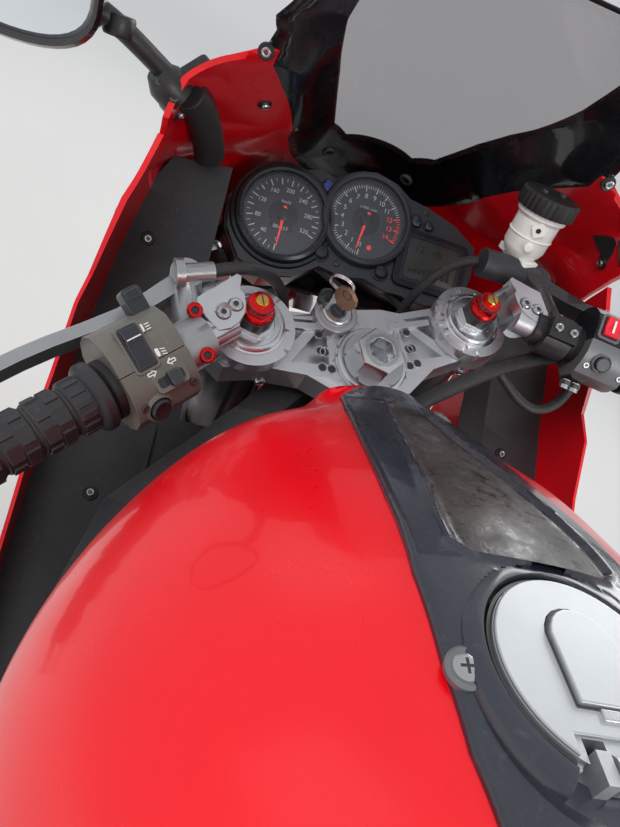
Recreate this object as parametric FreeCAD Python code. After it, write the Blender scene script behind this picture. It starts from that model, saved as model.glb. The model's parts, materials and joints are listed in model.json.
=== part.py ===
import FreeCAD, Part
import math
import os
from FreeCAD import Placement, Rotation, Vector

# A sport bike parked on its side stand with the steering turned to the left.
# Millimetres, +Z up. Everything is drawn upright and straight ahead, with x=0 at
# the rear axle, +X forward and +Y to the rider's left, then turned and leaned at
# the end of the file.

WHEELBASE = 1415.0
RAKE = math.radians(24.0)
FORK_OFFSET = 32.0
STEM_HEIGHT = 649.0      # along the steering axis, front axle to top clamp
LEAN = math.radians(11.0)
TURN = math.radians(19.0)

FRONT_R = 300.0
FRONT_HALF = 60.0
REAR_R = 315.0
REAR_HALF = 90.0
RIM_R = 216.0
TYRE_WALL = 9.0
AXLE_R = 12.5
RUNNING_FIT = 0.05       # radial clearance of every bearing
CLEAR = 6.0              # least gap between pieces that move past each other

FORK_HALF = 103.0
TUBE_R = 27.0
SLIDER_R = 21.5
STEM_R = 15.0
CLAMP_THICK = 28.0
HEAD_LENGTH = 150.0

WALL = 3.0
ARM_IN = 122.0
ARM_OUT = 156.0
CHAIN_Y = 108.0
SPOOL_R = 4.0            # holes for the paddock stand's bobbins
SPOOL_DEEP = 24.0

REAR_AXLE = Vector(0, 0, REAR_R)
FRONT_AXLE = Vector(WHEELBASE, 0, FRONT_R)
AXIS = Vector(-math.sin(RAKE), 0, math.cos(RAKE))
AHEAD = Vector(math.cos(RAKE), 0, math.sin(RAKE))
ACROSS = Vector(0, 1, 0)
STEM = FRONT_AXLE - AHEAD * FORK_OFFSET + AXIS * STEM_HEIGHT
PIVOT = Vector(545, 0, 400)
SPROCKET = Vector(650, 0, 400)


# Drawing helpers

def at(x, y, z):
    return Vector(x, y, z)


def steer(u, y, a):
    """A point given ahead, left and up along the steering axis from the top clamp."""
    return STEM + AHEAD * u + ACROSS * y + AXIS * a


def box(x0, x1, y0, y1, z0, z1):
    return Part.makeBox(x1 - x0, y1 - y0, z1 - z0, Vector(x0, y0, z0))


def rod(p, q, r):
    way = q - p
    return Part.makeCylinder(r, way.Length, p, way)


def cone(p, q, r0, r1):
    way = q - p
    return Part.makeCone(r0, r1, way.Length, p, way)


def fuse(*shapes):
    return shapes[0].multiFuse(list(shapes[1:])).removeSplitter()


def mirrored(shape):
    return shape.mirror(Vector(0, 0, 0), Vector(0, 1, 0))


def both(shape):
    return [shape, mirrored(shape)]


def main_solid(shape):
    """The largest solid of a cut, without its offcuts."""
    return max(shape.Solids, key=lambda solid: solid.Volume)


def face_of(points):
    return Part.Face(Part.makePolygon(points + points[:1]))


def side_plate(outline, y0, y1):
    """A plate drawn in side view as (x, z) corners, from y0 to y1."""
    return face_of([Vector(x, y0, z) for x, z in outline]).extrude(Vector(0, y1 - y0, 0))


def plan_plate(outline, z0, z1):
    return face_of([Vector(x, y, z0) for x, y in outline]).extrude(Vector(0, 0, z1 - z0))


def steer_plate(outline, a0, a1):
    """A plate square to the steering axis, drawn as (u, y) corners."""
    face = face_of([steer(u, y, a0) for u, y in outline])
    return face.extrude(AXIS * (a1 - a0))


def loft(wires, ruled=False):
    return Part.makeLoft(wires, True, ruled)


def rect_wire(centre, along, across, up, width, height):
    s = across * (width / 2)
    t = up * (height / 2)
    corners = [centre - s - t, centre + s - t, centre + s + t, centre - s + t]
    return Part.makePolygon(corners + corners[:1])


def beam(stations):
    """A straight-edged beam through (x, y, z, width, height) stations."""
    wires = []
    for x, y, z, width, height in stations:
        wires.append(rect_wire(at(x, y, z), None, ACROSS, Vector(0, 0, 1), width, height))
    return loft(wires, True)


def path(points, bend=None):
    """Straight runs joined by arcs of one radius, or by the largest that the runs allow."""
    edges = []
    start = points[0]
    for before, corner, after in zip(points[:-2], points[1:-1], points[2:]):
        run = min((corner - before).Length, (after - corner).Length)
        d0 = (corner - before).normalize()
        d1 = (after - corner).normalize()
        half = d0.getAngle(d1) / 2
        radius = bend or 0.45 * run / math.tan(half)
        trim = radius * math.tan(half)
        p = corner - d0 * trim
        q = corner + d1 * trim
        middle = corner + (d1 - d0).normalize() * (radius / math.cos(half) - radius)
        edges.append(Part.LineSegment(start, p).toShape())
        edges.append(Part.Arc(p, middle, q).toShape())
        start = q
    edges.append(Part.LineSegment(start, points[-1]).toShape())
    return Part.Wire(edges)


def pipe(points, r, bend=None):
    way = (points[1] - points[0]).normalize()
    ring = Part.Wire(Part.makeCircle(r, points[0], way))
    return path(points, bend).makePipeShell([ring], True, False)


def spin(corners, centre):
    """A ring about a cross axis through centre, from (radius, y) corners."""
    ring = face_of([at(r, y, 0) for r, y in corners]).revolve(Vector(0, 0, 0), ACROSS, 360)
    ring.translate(centre)
    return ring


def disc(centre, y0, y1, r, bore=0):
    ring = rod(centre + ACROSS * y0, centre + ACROSS * y1, r)
    if bore:
        ring = ring.cut(rod(centre + ACROSS * (y0 - 1), centre + ACROSS * (y1 + 1), bore))
    return ring


# Wheels

def crown_points(radius, half, depth, steps):
    """Corners across the tread, on the arc that meets the shoulder, set in by depth."""
    sag = 0.38 * (radius - RIM_R)
    crown = (half ** 2 + sag ** 2) / (2 * sag)
    top = math.asin(half / crown)
    points = []
    for k in range(steps, -steps - 1, -1):
        angle = top * k / steps
        reach = crown - depth
        points.append((radius - crown + reach * math.cos(angle), reach * math.sin(angle)))
    return points


def tyre(radius, half, bead, centre):
    side_r = RIM_R + 0.34 * (radius - RIM_R)
    bead_r = RIM_R + 14
    outside = [(bead_r, bead), (side_r, half - 2)] + crown_points(radius, half, 0, 3) + [
        (side_r, 2 - half), (bead_r, -bead)]
    inside = [(RIM_R, TYRE_WALL - bead)] + crown_points(radius, half, TYRE_WALL, 2)[::-1] + [
        (RIM_R, bead - TYRE_WALL)]
    return spin([(RIM_R, bead)] + outside + [(RIM_R, -bead)] + inside, centre)


def rim(bead, hub_r, hub_half, spoke_half, bore, centre):
    lip = 6.0
    barrel = spin([
        (RIM_R, bead), (RIM_R + 12, bead), (RIM_R + 12, bead + lip), (RIM_R - 8, bead + lip),
        (RIM_R - 22, bead * 0.5), (RIM_R - 22, -bead * 0.5), (RIM_R - 8, -bead - lip),
        (RIM_R + 12, -bead - lip), (RIM_R + 12, -bead), (RIM_R, -bead),
        (RIM_R - 16, -bead * 0.5), (RIM_R - 16, bead * 0.5),
    ], centre)
    shapes = [barrel, disc(centre, -hub_half, hub_half, hub_r)]
    for k in range(3):
        turn = Rotation(ACROSS, 120 * k + 30)
        root = [(hub_r * 0.5, -34), (RIM_R - 19, -20), (RIM_R - 19, 20), (hub_r * 0.5, 34)]
        spoke = side_plate(root, -spoke_half, spoke_half)
        hollow = side_plate([(hub_r + 34, -13), (RIM_R - 46, -8), (RIM_R - 46, 8), (hub_r + 34, 13)],
                            -spoke_half - 1, spoke_half + 1)
        spoke = spoke.cut(hollow)
        spoke.Placement = Placement(centre, turn)
        shapes.append(spoke)
    return fuse(*shapes).cut(disc(centre, -200, 200, bore))


def brake_disc(centre, side, y, outer, inner, hub_r, bore):
    band = disc(centre, side * y - 2.5, side * y + 2.5, outer, inner)
    shapes = [band, disc(centre, side * y - 3, side * y + 3, hub_r, bore)]
    for k in range(6):
        arm = box(hub_r - 4, inner + 4, side * y - 2, side * y + 2, -9, 9)
        arm.Placement = Placement(centre, Rotation(ACROSS, 60 * k + 15))
        shapes.append(arm)
    return fuse(*shapes)


FRONT_BEAD = 44.0
REAR_BEAD = 70.0
DISC_Y = 70.0
HUB_BORE = 20.0

front_tyre = tyre(FRONT_R, FRONT_HALF, FRONT_BEAD, FRONT_AXLE)
rear_tyre = tyre(REAR_R, REAR_HALF, REAR_BEAD, REAR_AXLE)
front_rim = rim(FRONT_BEAD, 36, 58, 17, HUB_BORE, FRONT_AXLE)
rear_rim = rim(REAR_BEAD, 52, 84, 24, AXLE_R + RUNNING_FIT, REAR_AXLE)
sleeve = disc(FRONT_AXLE, -DISC_Y - 3, DISC_Y + 3, HUB_BORE, AXLE_R + RUNNING_FIT)
front_discs = fuse(
    sleeve,
    brake_disc(FRONT_AXLE, 1, DISC_Y, 160, 118, 62, AXLE_R + RUNNING_FIT),
    brake_disc(FRONT_AXLE, -1, DISC_Y, 160, 118, 62, AXLE_R + RUNNING_FIT))
rear_disc = fuse(
    brake_disc(REAR_AXLE, -1, 95, 110, 78, 52, AXLE_R + RUNNING_FIT),
    disc(REAR_AXLE, -95, -84, 40, AXLE_R + RUNNING_FIT))

TOOTH_R = 97.0
rear_sprocket = fuse(
    disc(REAR_AXLE, CHAIN_Y - 3, CHAIN_Y + 3, TOOTH_R, 64),
    disc(REAR_AXLE, 84, CHAIN_Y + 3, 44, AXLE_R + RUNNING_FIT),
    *[box(40, 68, CHAIN_Y - 3, CHAIN_Y + 3, -10, 10).transformGeometry(
        Placement(REAR_AXLE, Rotation(ACROSS, 72 * k)).toMatrix()) for k in range(5)])


# Engine, frame and swingarm

engine = fuse(
    box(790, 1000, -194, 194, 325, 430),
    box(700, 1005, -120, 120, 195, 430),
    box(612, 760, -120, 92, 260, 470),
    box(780, 1000, -180, 180, 430, 610),
    disc(SPROCKET, 90, CHAIN_Y - 6, 24),
    disc(SPROCKET, CHAIN_Y - 6, CHAIN_Y + 4, 30))

head_top = steer(0, 0, -CLAMP_THICK - CLEAR)
head_low = steer(0, 0, -CLAMP_THICK - CLEAR - HEAD_LENGTH)
spar = beam([
    (steer(0, 0, -110).x - 12, 34, steer(0, 0, -110).z, 40, 120),
    (1090, 84, 762, 34, 122),
    (1000, 166, 724, 34, 118),
    (860, 198, 688, 34, 112),
    (720, 172, 610, 34, 128),
    (610, 156, 520, 32, 160),
])
pivot_plate = side_plate([
    (640, 598), (560, 600), (512, 470), (505, 330), (540, 262), (612, 262), (612, 470), (700, 520),
], 162, 184)
cross_tube = rod(at(560, -170, 300), at(560, 170, 300), 22)
upper_cross = rod(at(590, -165, 585), at(590, 165, 585), 24)
rail = pipe([at(600, 150, 570), at(440, 128, 690), at(250, 112, 745), at(-180, 70, 812)], 14, 60)
stay = pipe([at(545, 160, 480), at(430, 135, 560), at(60, 96, 768)], 11, 60)
engine_lug = fuse(
    box(930, 990, 178, 206, 520, 690),
    box(800, 850, 176, 216, 520, 660))
stem_bore = rod(steer(0, 0, 20), steer(0, 0, -400), STEM_R + RUNNING_FIT)
rail_cross = rod(at(250, -112, 745), at(250, 112, 745), 12)
rail_end = rod(at(-150, -75, 808), at(-150, 75, 808), 12)
tank_rest = rod(at(930, -190, 735), at(930, 190, 735), 12)
frame = fuse(
    rod(head_low, head_top, 38),
    *both(spar), *both(pivot_plate), *both(engine_lug),
    cross_tube, upper_cross, tank_rest)
frame = frame.cut(stem_bore)
subframe = main_solid(fuse(*both(rail), *both(stay), rail_cross, rail_end).cut(frame))

arm = beam([
    (520, 139, 400, 34, 64),
    (430, 139, 372, 34, 92),
    (60, 139, 322, 34, 66),
    (-58, 139, REAR_R, 34, 54),
])
arm_cross = box(412, 486, -123, 123, 342, 408)
arm_boss = disc(PIVOT, ARM_IN, ARM_OUT, 34)
pivot_bolt = disc(PIVOT, -190, 190, 13)
swingarm = fuse(*both(arm), *both(arm_boss), arm_cross, pivot_bolt)
swingarm = swingarm.cut(disc(REAR_AXLE, -200, 200, AXLE_R))
SPOOL = at(92, 0, 322)
for spool in both(disc(SPOOL, ARM_OUT - SPOOL_DEEP, ARM_OUT + 1, SPOOL_R)):
    swingarm = swingarm.cut(spool)
frame = frame.cut(disc(PIVOT, -200, 200, 13))

rear_axle = fuse(
    disc(REAR_AXLE, -170, 170, AXLE_R),
    disc(REAR_AXLE, ARM_OUT, 172, 22),
    disc(REAR_AXLE, -172, -ARM_OUT, 22),
    disc(REAR_AXLE, CHAIN_Y + 9, ARM_IN, 18),
    disc(REAR_AXLE, -ARM_IN, -105, 18))

shock_low = at(455, 0, 372)
shock_top = at(575, 0, 585)
rear_shock = fuse(
    rod(shock_low + (shock_top - shock_low) * 0.16, shock_top - (shock_top - shock_low) * 0.1, 16),
    rod(shock_low + (shock_top - shock_low) * 0.3, shock_top - (shock_top - shock_low) * 0.2, 34))
rear_shock = rear_shock.cut(arm_cross).cut(upper_cross)


def chain_loop(p, rp, q, rq, grow):
    """Band round two circles in side view: both outer tangents and both arcs."""
    way = q - p
    far = way.Length
    lean = math.asin((rp - rq) / far)
    base = math.atan2(way.z, way.x)
    up = base + math.pi / 2 - lean
    down = base - math.pi / 2 + lean

    def rim_point(c, r, angle):
        return at(c.x + (r + grow) * math.cos(angle), 0, c.z + (r + grow) * math.sin(angle))

    p_up = rim_point(p, rp, up)
    q_up = rim_point(q, rq, up)
    p_down = rim_point(p, rp, down)
    q_down = rim_point(q, rq, down)
    return Part.Face(Part.Wire([
        Part.LineSegment(p_up, q_up).toShape(),
        Part.Arc(q_up, rim_point(q, rq, base), q_down).toShape(),
        Part.LineSegment(q_down, p_down).toShape(),
        Part.Arc(p_down, rim_point(p, rp, base + math.pi), p_up).toShape(),
    ]))


PLATE = 7.5
rear_pitch_r = TOOTH_R + CLEAR + PLATE
front_pitch_r = 30 + PLATE
outer = chain_loop(REAR_AXLE, rear_pitch_r, SPROCKET, front_pitch_r, PLATE)
inner = chain_loop(REAR_AXLE, rear_pitch_r, SPROCKET, front_pitch_r, -PLATE)
chain = outer.cut(inner).extrude(Vector(0, 16, 0))
chain.translate(Vector(0, CHAIN_Y - 8, 0))

radiator = fuse(
    box(1054, 1082, -185, 185, 430, 690),
    box(1048, 1088, -200, -185, 440, 680),
    box(1048, 1088, 185, 200, 440, 680),
    *both(box(975, 1060, 188, 200, 560, 600)))

exhaust_parts = []
for y in (-135, -47, 47, 135):
    exhaust_parts.append(pipe([
        at(990, y, 540), at(1027, y, 400), at(1020, y * 0.6, 178), at(900, y * 0.35 - 30, 168),
        at(760, y * 0.25 - 40, 168)], 19, 42))
collector = fuse(
    box(640, 780, -86, 16, 146, 194),
    pipe([at(650, -45, 170), at(520, -60, 170), at(420, -150, 205), at(300, -205, 300),
          at(238, -221, 340)], 27, 80))
exhaust_headers = fuse(collector, *exhaust_parts)
silencer_low = at(226, -221, 346)
silencer_end = at(-205, -224, 560)
silencer = fuse(
    rod(silencer_low, silencer_end, 54),
    cone(silencer_low - (silencer_end - silencer_low) * 0.07, silencer_low, 30, 52),
    rod(silencer_end, silencer_end + (silencer_end - silencer_low) * 0.04, 30),
    box(10, 40, -190, -110, 462, 700).cut(box(0, 50, -140, -100, 400, 560)))
silencer = silencer.cut(rod(silencer_low, silencer_end + (silencer_end - silencer_low) * 0.2, 24))
exhaust_headers = exhaust_headers.cut(silencer)
silencer = silencer.cut(subframe)

# Tank and seats

TANK = [
    # x, belly half-width, belly z, side half-width, side z, top half-width, top z, crown z
    (1062, 38, 800, 50, 872, 34, 894, 902),
    (1000, 70, 770, 112, 862, 78, 912, 928),
    (920, 92, 730, 172, 846, 110, 940, 966),
    (850, 100, 700, 198, 826, 120, 962, 996),
    (770, 100, 690, 196, 812, 118, 970, 1002),
    (700, 92, 690, 160, 796, 96, 936, 966),
    (650, 80, 700, 118, 784, 72, 890, 912),
    (610, 66, 720, 84, 776, 52, 838, 852),
]


def tank_wire(x, bw, bz, sw, sz, tw, tz, cz, grow):
    low = bz - grow
    pts = [(bw + grow, low), (sw + grow, sz), (tw + grow * 0.7, tz + grow * 0.7), (0, cz + grow)]
    mid_y = (pts[1][0] + pts[2][0]) / 2 + 0.16 * (sw - tw)
    mid_z = (pts[1][1] + pts[2][1]) / 2 + 0.16 * (tz - sz)

    def p(y, z):
        return at(x, y, z)

    return Part.Wire([
        Part.LineSegment(p(-pts[0][0], low), p(pts[0][0], low)).toShape(),
        Part.LineSegment(p(*pts[0]), p(*pts[1])).toShape(),
        Part.Arc(p(*pts[1]), p(mid_y, mid_z), p(*pts[2])).toShape(),
        Part.Arc(p(*pts[2]), p(*pts[3]), p(-pts[2][0], pts[2][1])).toShape(),
        Part.Arc(p(-pts[2][0], pts[2][1]), p(-mid_y, mid_z), p(-pts[1][0], pts[1][1])).toShape(),
        Part.LineSegment(p(-pts[1][0], pts[1][1]), p(-pts[0][0], low)).toShape(),
    ])


def tank_body(grow):
    return loft([tank_wire(*row, grow) for row in TANK])


LID = at(796, 0, 1002)
LID_TILT = Rotation(ACROSS, 6)
LID_UP = LID_TILT.multVec(Vector(0, 0, 1))
LID_BACK = LID_TILT.multVec(Vector(-1, 0, 0))
LID_R = 36.0
NECK_R = 27.0

tank_solid = tank_body(0)
panel_plan = plan_plate([
    (1040, -50), (1040, 50), (1000, 58), (900, 50), (850, 44), (800, 52), (745, 46), (715, 24),
    (715, -24), (745, -46), (800, -52), (850, -44), (900, -50), (1000, -58),
], 850, 1060)
lid_hole = rod(LID - LID_UP * 60, LID + LID_UP * 40, LID_R + CLEAR)
neck_hole = rod(LID - LID_UP * 60, LID + LID_UP * 40, NECK_R)
tank_panel = tank_body(4).common(panel_plan).cut(tank_solid).cut(lid_hole)
fuel_tank = tank_solid.cut(frame)
fuel_tank = fuel_tank.cut(rod(steer(0, 0, 60), steer(0, 0, -400), 46))
tank_seat = rod(LID - LID_UP * 10, LID + LID_UP * 40, LID_R + CLEAR)
fuel_tank = fuel_tank.cut(neck_hole).cut(tank_seat)

PIN_R = 2.5
pin_at = LID + LID_BACK * (LID_R - 2) + LID_UP * 3
filler_ring = rod(LID - LID_UP * 10, LID - LID_UP * 4, LID_R + CLEAR - 1).cut(neck_hole)
ear = box(-5, 5, -13, -8, -7, 4)
ears = []
for shape in both(ear):
    shape = shape.copy()
    shape.Placement = Placement(pin_at, LID_TILT)
    ears.append(shape)
lid_pin = rod(pin_at - ACROSS * 13, pin_at + ACROSS * 13, PIN_R)
filler_ring = fuse(filler_ring, *ears, lid_pin)
fuel_lid = rod(LID - LID_UP * 3, LID + LID_UP * 5, LID_R)
barrel = rod(pin_at - ACROSS * 7, pin_at + ACROSS * 7, PIN_R + 3)
ear_room = box(-9, 9, -15, 15, -12, 12)
ear_room.Placement = Placement(pin_at, LID_TILT)
knuckle = box(-3, 10, -7, 7, -3, 2)
knuckle.Placement = Placement(pin_at, LID_TILT)
fuel_lid = fuse(fuel_lid.cut(ear_room), barrel, knuckle)
fuel_lid = fuel_lid.cut(rod(pin_at - ACROSS * 20, pin_at + ACROSS * 20, PIN_R + RUNNING_FIT))

SEAT = [
    # x, half-width, bottom z, edge z, crown z
    (668, 92, 766, 808, 832),
    (600, 108, 762, 800, 826),
    (480, 138, 764, 796, 816),
    (360, 146, 772, 806, 822),
    (262, 128, 786, 838, 856),
]
PILLION = [
    (250, 112, 812, 868, 884),
    (150, 104, 824, 886, 906),
    (20, 84, 838, 892, 914),
    (-60, 62, 848, 884, 900),
]
TAIL = [
    # x, bottom half-width, bottom z, side half-width, side z, top half-width, top z
    (600, 132, 650, 150, 700, 104, 762),
    (480, 140, 668, 160, 724, 128, 764),
    (300, 124, 700, 152, 762, 118, 786),
    (150, 104, 734, 132, 810, 98, 824),
    (0, 84, 766, 106, 838, 78, 850),
    (-150, 60, 800, 80, 864, 56, 892),
    (-330, 30, 850, 44, 884, 30, 902),
]


def seat_wire(x, hw, low, edge, crown):
    return Part.Wire([
        Part.LineSegment(at(x, -hw, low), at(x, hw, low)).toShape(),
        Part.LineSegment(at(x, hw, low), at(x, hw, edge)).toShape(),
        Part.Arc(at(x, hw, edge), at(x, 0, crown), at(x, -hw, edge)).toShape(),
        Part.LineSegment(at(x, -hw, edge), at(x, -hw, low)).toShape(),
    ])


def tail_wire(x, bw, bz, sw, sz, tw, tz, inset=0):
    pts = [(bw - inset, bz + inset), (sw - inset, sz), (tw - inset, tz - inset)]
    ring = pts + [(-y, z) for y, z in reversed(pts)]
    return Part.makePolygon([at(x, y, z) for y, z in ring + ring[:1]])


seat_body = loft([seat_wire(*row) for row in SEAT])
rider_seat = seat_body.cut(tank_solid)
pillion_seat = loft([seat_wire(*row) for row in PILLION])
tail_body = loft([tail_wire(*row) for row in TAIL], True)
TAIL_HOLLOW = [(row[0] + (8 if row is TAIL[0] else -4 if row is TAIL[-1] else 0),) + row[1:] for row in TAIL[:-1]]
tail_inner = loft([tail_wire(*row, WALL) for row in TAIL_HOLLOW], True)
tail_shell = tail_body.cut(tail_inner).cut(
    side_plate([(700, 500), (700, 680), (300, 722), (60, 764), (-60, 786), (-60, 500)], -(104 - WALL), 104 - WALL))
light_room = side_plate([(-400, 800), (-400, 925), (-262, 925), (-262, 800)], -60, 60)
tail_light = tail_body.common(light_room)
tail_cowl = main_solid(tail_shell.cut(light_room).cut(rider_seat).cut(pillion_seat).cut(subframe).cut(tank_solid))
rider_seat = rider_seat.cut(subframe).cut(frame)

plate_holder = fuse(
    side_plate([(-180, 812), (-292, 842), (-352, 640), (-336, 636), (-284, 786), (-180, 796)], -60, 60),
    *both(rod(at(-286, 50, 800), at(-286, 126, 800), 6)),
    *both(rod(at(-286, 120, 800), at(-286, 160, 800), 15)),
    box(-362, -340, -90, 90, 600, 715))
rear_mudguard = main_solid(plate_holder.cut(tail_body).cut(subframe))

# Fairing

HULL = [
    # z, then x and half-width at the rear, widest, shoulder, brow and cheek, then the tip's x
    (130, 560, 72, 820, 124, 980, 118, 1040, 92, 1072, 46, 1082),
    (210, 560, 100, 820, 170, 1040, 155, 1120, 110, 1165, 60, 1180),
    (330, 560, 140, 870, 226, 1120, 208, 1230, 150, 1300, 80, 1325),
    (520, 560, 155, 960, 242, 1210, 216, 1330, 150, 1400, 80, 1425),
    (690, 560, 162, 1010, 252, 1300, 205, 1430, 130, 1505, 62, 1525),
    (790, 560, 166, 1060, 254, 1330, 205, 1450, 128, 1525, 60, 1545),
    (850, 700, 190, 1130, 248, 1330, 200, 1430, 120, 1492, 55, 1512),
    (925, 850, 205, 1180, 231, 1310, 200, 1380, 125, 1440, 62, 1460),
    (975, 1000, 205, 1180, 215, 1272, 196, 1332, 112, 1398, 59, 1413),
    (1020, 1000, 200, 1165, 210, 1230, 196, 1272, 128, 1339, 75, 1366),
    (1046, 1000, 190, 1150, 202, 1205, 188, 1238, 134, 1300, 84, 1333),
    (1096, 1000, 160, 1110, 170, 1160, 160, 1190, 138, 1230, 98, 1266),
    (1165, 1000, 140, 1075, 142, 1110, 134, 1132, 116, 1152, 84, 1172),
]


def hull_wire(z, points, inset, back):
    """One level of the bodywork, drawn as a smooth curve set in by the given amount."""
    half = []
    last = len(points) - 1
    for i, (x, y) in enumerate(points):
        x0, y0 = points[max(i - 1, 0)]
        x1, y1 = points[i + 1] if i < last else (points[i - 1][0], -points[i - 1][1])
        length = math.hypot(x1 - x0, y1 - y0)
        half.append((x + inset * (y1 - y0) / length, y - inset * (x1 - x0) / length))
    x, y = half[0]
    slope = (points[1][1] - points[0][1]) / (points[1][0] - points[0][0])
    half[0] = (x - back, y - back * slope)
    ring = half + [(x, -y) for x, y in reversed(half[:-1])]
    curve = Part.BSplineCurve()
    curve.interpolate([at(x, y, z) for x, y in ring])
    end = Part.LineSegment(at(*ring[-1], z), at(*ring[0], z))
    return Part.Wire([curve.toShape(), end.toShape()])


def hull(inset, rise, back):
    wires = []
    for i, row in enumerate(HULL):
        level = row[0] + (rise if i == 0 else -rise if i == len(HULL) - 1 else 0)
        points = list(zip(row[1:-1:2], row[2:-1:2])) + [(row[-1], 0)]
        wires.append(hull_wire(level, points, inset * (1.7 if row[0] > 860 else 1.0), back))
    return loft(wires, True)


hull_out = hull(0, 0, 0)
hull_in = hull(WALL, WALL, 60)
shell = hull_out.cut(hull_in)
shell = shell.cut(box(400, 1128, -400, 400, 880, 1300))
FAR = 400.0

screen_line = [(1520, 850), (1437, 906), (1354, 959), (1297, 1001), (1227, 1046), (1205, 1074)]
screen_room = side_plate(screen_line + [(1128, 1100), (1128, 1300), (1520, 1300)], -FAR, FAR)
screen_end = side_plate([(1205, 1074), (1190, 1085), (1138, 1180), (1138, 1300), (1000, 1300), (1000, 1074)],
                        -FAR, FAR)
windscreen = shell.common(screen_room).cut(screen_end)
upper_region = side_plate([
    (1600, 1150), (1204, 1150), (1206, 1074), (1216, 1061), (1217, 1030), (1206, 990), (1216, 978),
    (1300, 860), (1345, 760), (1330, 652), (1420, 672), (1600, 716),
], -FAR, FAR)
lamp_region = side_plate([(1400, 742), (1620, 736), (1620, 806), (1430, 836)], -FAR, FAR)
lamp_gap = side_plate([(1399.5, 741.5), (1620, 735.5), (1620, 806.5), (1429, 837)], -FAR, FAR)
upper_fairing = shell.common(upper_region).cut(screen_room).cut(lamp_gap)
lens = shell.common(lamp_region)
lamp_body = hull_in.common(side_plate([(1390, 746), (1620, 740), (1620, 802), (1390, 826)], -118, 118))
headlight = fuse(lens, lamp_body)

side_region = side_plate([
    (1213, 974), (1200, 958), (1185, 924), (1162, 862), (1136, 848), (1100, 803), (1060, 765),
    (1000, 738), (850, 700), (768, 640), (716, 560), (704, 420), (712, 320), (1108, 302),
    (1122, 480), (1160, 600), (1226, 668), (1326, 650), (1341, 760), (1296, 858),
], 30, FAR)
vent = side_plate([(900, 520), (1010, 600), (1040, 545), (925, 462)], 0, FAR)
side_fairing_left = shell.common(side_region).cut(vent)
side_fairing_right = mirrored(side_fairing_left)
lower_region = side_plate([
    (1108, 299), (620, 319), (604, 240), (650, 110), (1040, 110), (1086, 200),
], -FAR, FAR)
lower_cowl = shell.common(lower_region)

# shelves that close the gap between the fairing's rim and the steering
shelf_line = [
    (1312, 985), (1270, 915), (1236, 850), (1196, 800), (1150, 762), (1100, 735), (1000, 705),
    (850, 668), (740, 630)]
shelf = side_plate(shelf_line + [(x, z - WALL) for x, z in reversed(shelf_line)], 120, FAR)
shelf = shelf.common(hull_in)
steer_room = fuse(
    rod(steer(0, 0, 150), steer(0, 0, -420), 160),
    box(700, 1230, -160, 160, 600, 1000))
inner_panel_left = main_solid(shelf.cut(steer_room).cut(frame).cut(tank_body(2)))
inner_panel_right = mirrored(inner_panel_left)

# Instruments

DASH = at(1323, 0, 915)
DASH_TILT = math.radians(45)
DASH_UP = Vector(math.cos(DASH_TILT), 0, math.sin(DASH_TILT))
DASH_OUT = Vector(-math.sin(DASH_TILT), 0, math.cos(DASH_TILT))


def dash(y, up, out):
    return DASH + ACROSS * y + DASH_UP * up + DASH_OUT * out


def dash_block(outline, out0, out1):
    face = face_of([dash(y, up, out0) for y, up in outline])
    return face.extrude(DASH_OUT * (out1 - out0))


DIALS = [
    # y, up, radius
    (3.6, 0, 50),
    (90, -22, 50),
]
lcd_outline = [(-40, 30), (-122, 20), (-122, -66), (-30, -66)]
cluster_parts = [
    dash_block([(132, 20), (96, 38), (-30, 52), (-124, 26), (-128, -70), (60, -78), (120, -70)], -50, -6),
    dash_block(lcd_outline, -10, 2)]
for y, up, r in DIALS:
    cluster_parts.append(rod(dash(y, up, -45), dash(y, up, 4), r))
instrument_cluster = fuse(*cluster_parts)
for y, up, r in DIALS:
    instrument_cluster = instrument_cluster.cut(rod(dash(y, up, -8), dash(y, up, 8), r - 8))
instrument_cluster = instrument_cluster.cut(
    dash_block([(-46, 8), (-110, 8), (-110, -48), (-46, -48)], -4, 8))
nose_bar = at(1348, 0, 838)
nose_stay = fuse(
    rod(steer(30, 0, -150), nose_bar, 12),
    rod(nose_bar - ACROSS * 260, nose_bar + ACROSS * 260, 9).common(hull_in),
    rod(nose_bar, at(1400, 0, 800), 11),
    rod(nose_bar, dash(0, -40, -50), 10))
spar_stay = rod(at(900, 200, 684), at(900, 300, 684), 7).common(hull_in)
frame = fuse(frame, *both(spar_stay))
nose_stay = main_solid(nose_stay.cut(instrument_cluster).cut(headlight).cut(frame))
side_fairing_left = side_fairing_left.cut(frame)
side_fairing_right = side_fairing_right.cut(frame)
crank_stay = rod(at(960, 190, 380), at(960, 300, 380), 9).common(hull_in)
sump_stay = rod(at(860, 110, 255), at(860, 300, 255), 9).common(hull_in)
engine = fuse(engine, *both(crank_stay), *both(sump_stay))

# Steering

clamp_outline = [
    (-30, -30), (-30, 30), (-8, 60), (2, 100), (2, 128), (20, 141), (44, 141), (62, 128), (66, 104),
    (54, 80), (48, 40), (52, 22), (52, -22), (48, -40), (54, -80), (66, -104), (62, -128),
    (44, -141), (20, -141), (2, -128), (2, -100), (-8, -60)]
top_plate = steer_plate(clamp_outline, -CLAMP_THICK, 0)
top_clamp = fuse(
    top_plate,
    rod(steer(0, 0, -CLAMP_THICK), steer(0, 0, 3), 33))
for side in (1, -1):
    for pocket in ([(0, 38), (40, 34), (4, 72)], [(42, 42), (46, 74), (14, 76)]):
        outline = [(u, side * y) for u, y in pocket]
        top_clamp = top_clamp.cut(steer_plate(outline, -10, 2))
    top_clamp = top_clamp.cut(rod(steer(FORK_OFFSET, side * FORK_HALF, -40),
                                  steer(FORK_OFFSET, side * FORK_HALF, 10), TUBE_R))
top_clamp = top_clamp.cut(rod(steer(0, 0, -40), steer(0, 0, 10), STEM_R))

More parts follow.
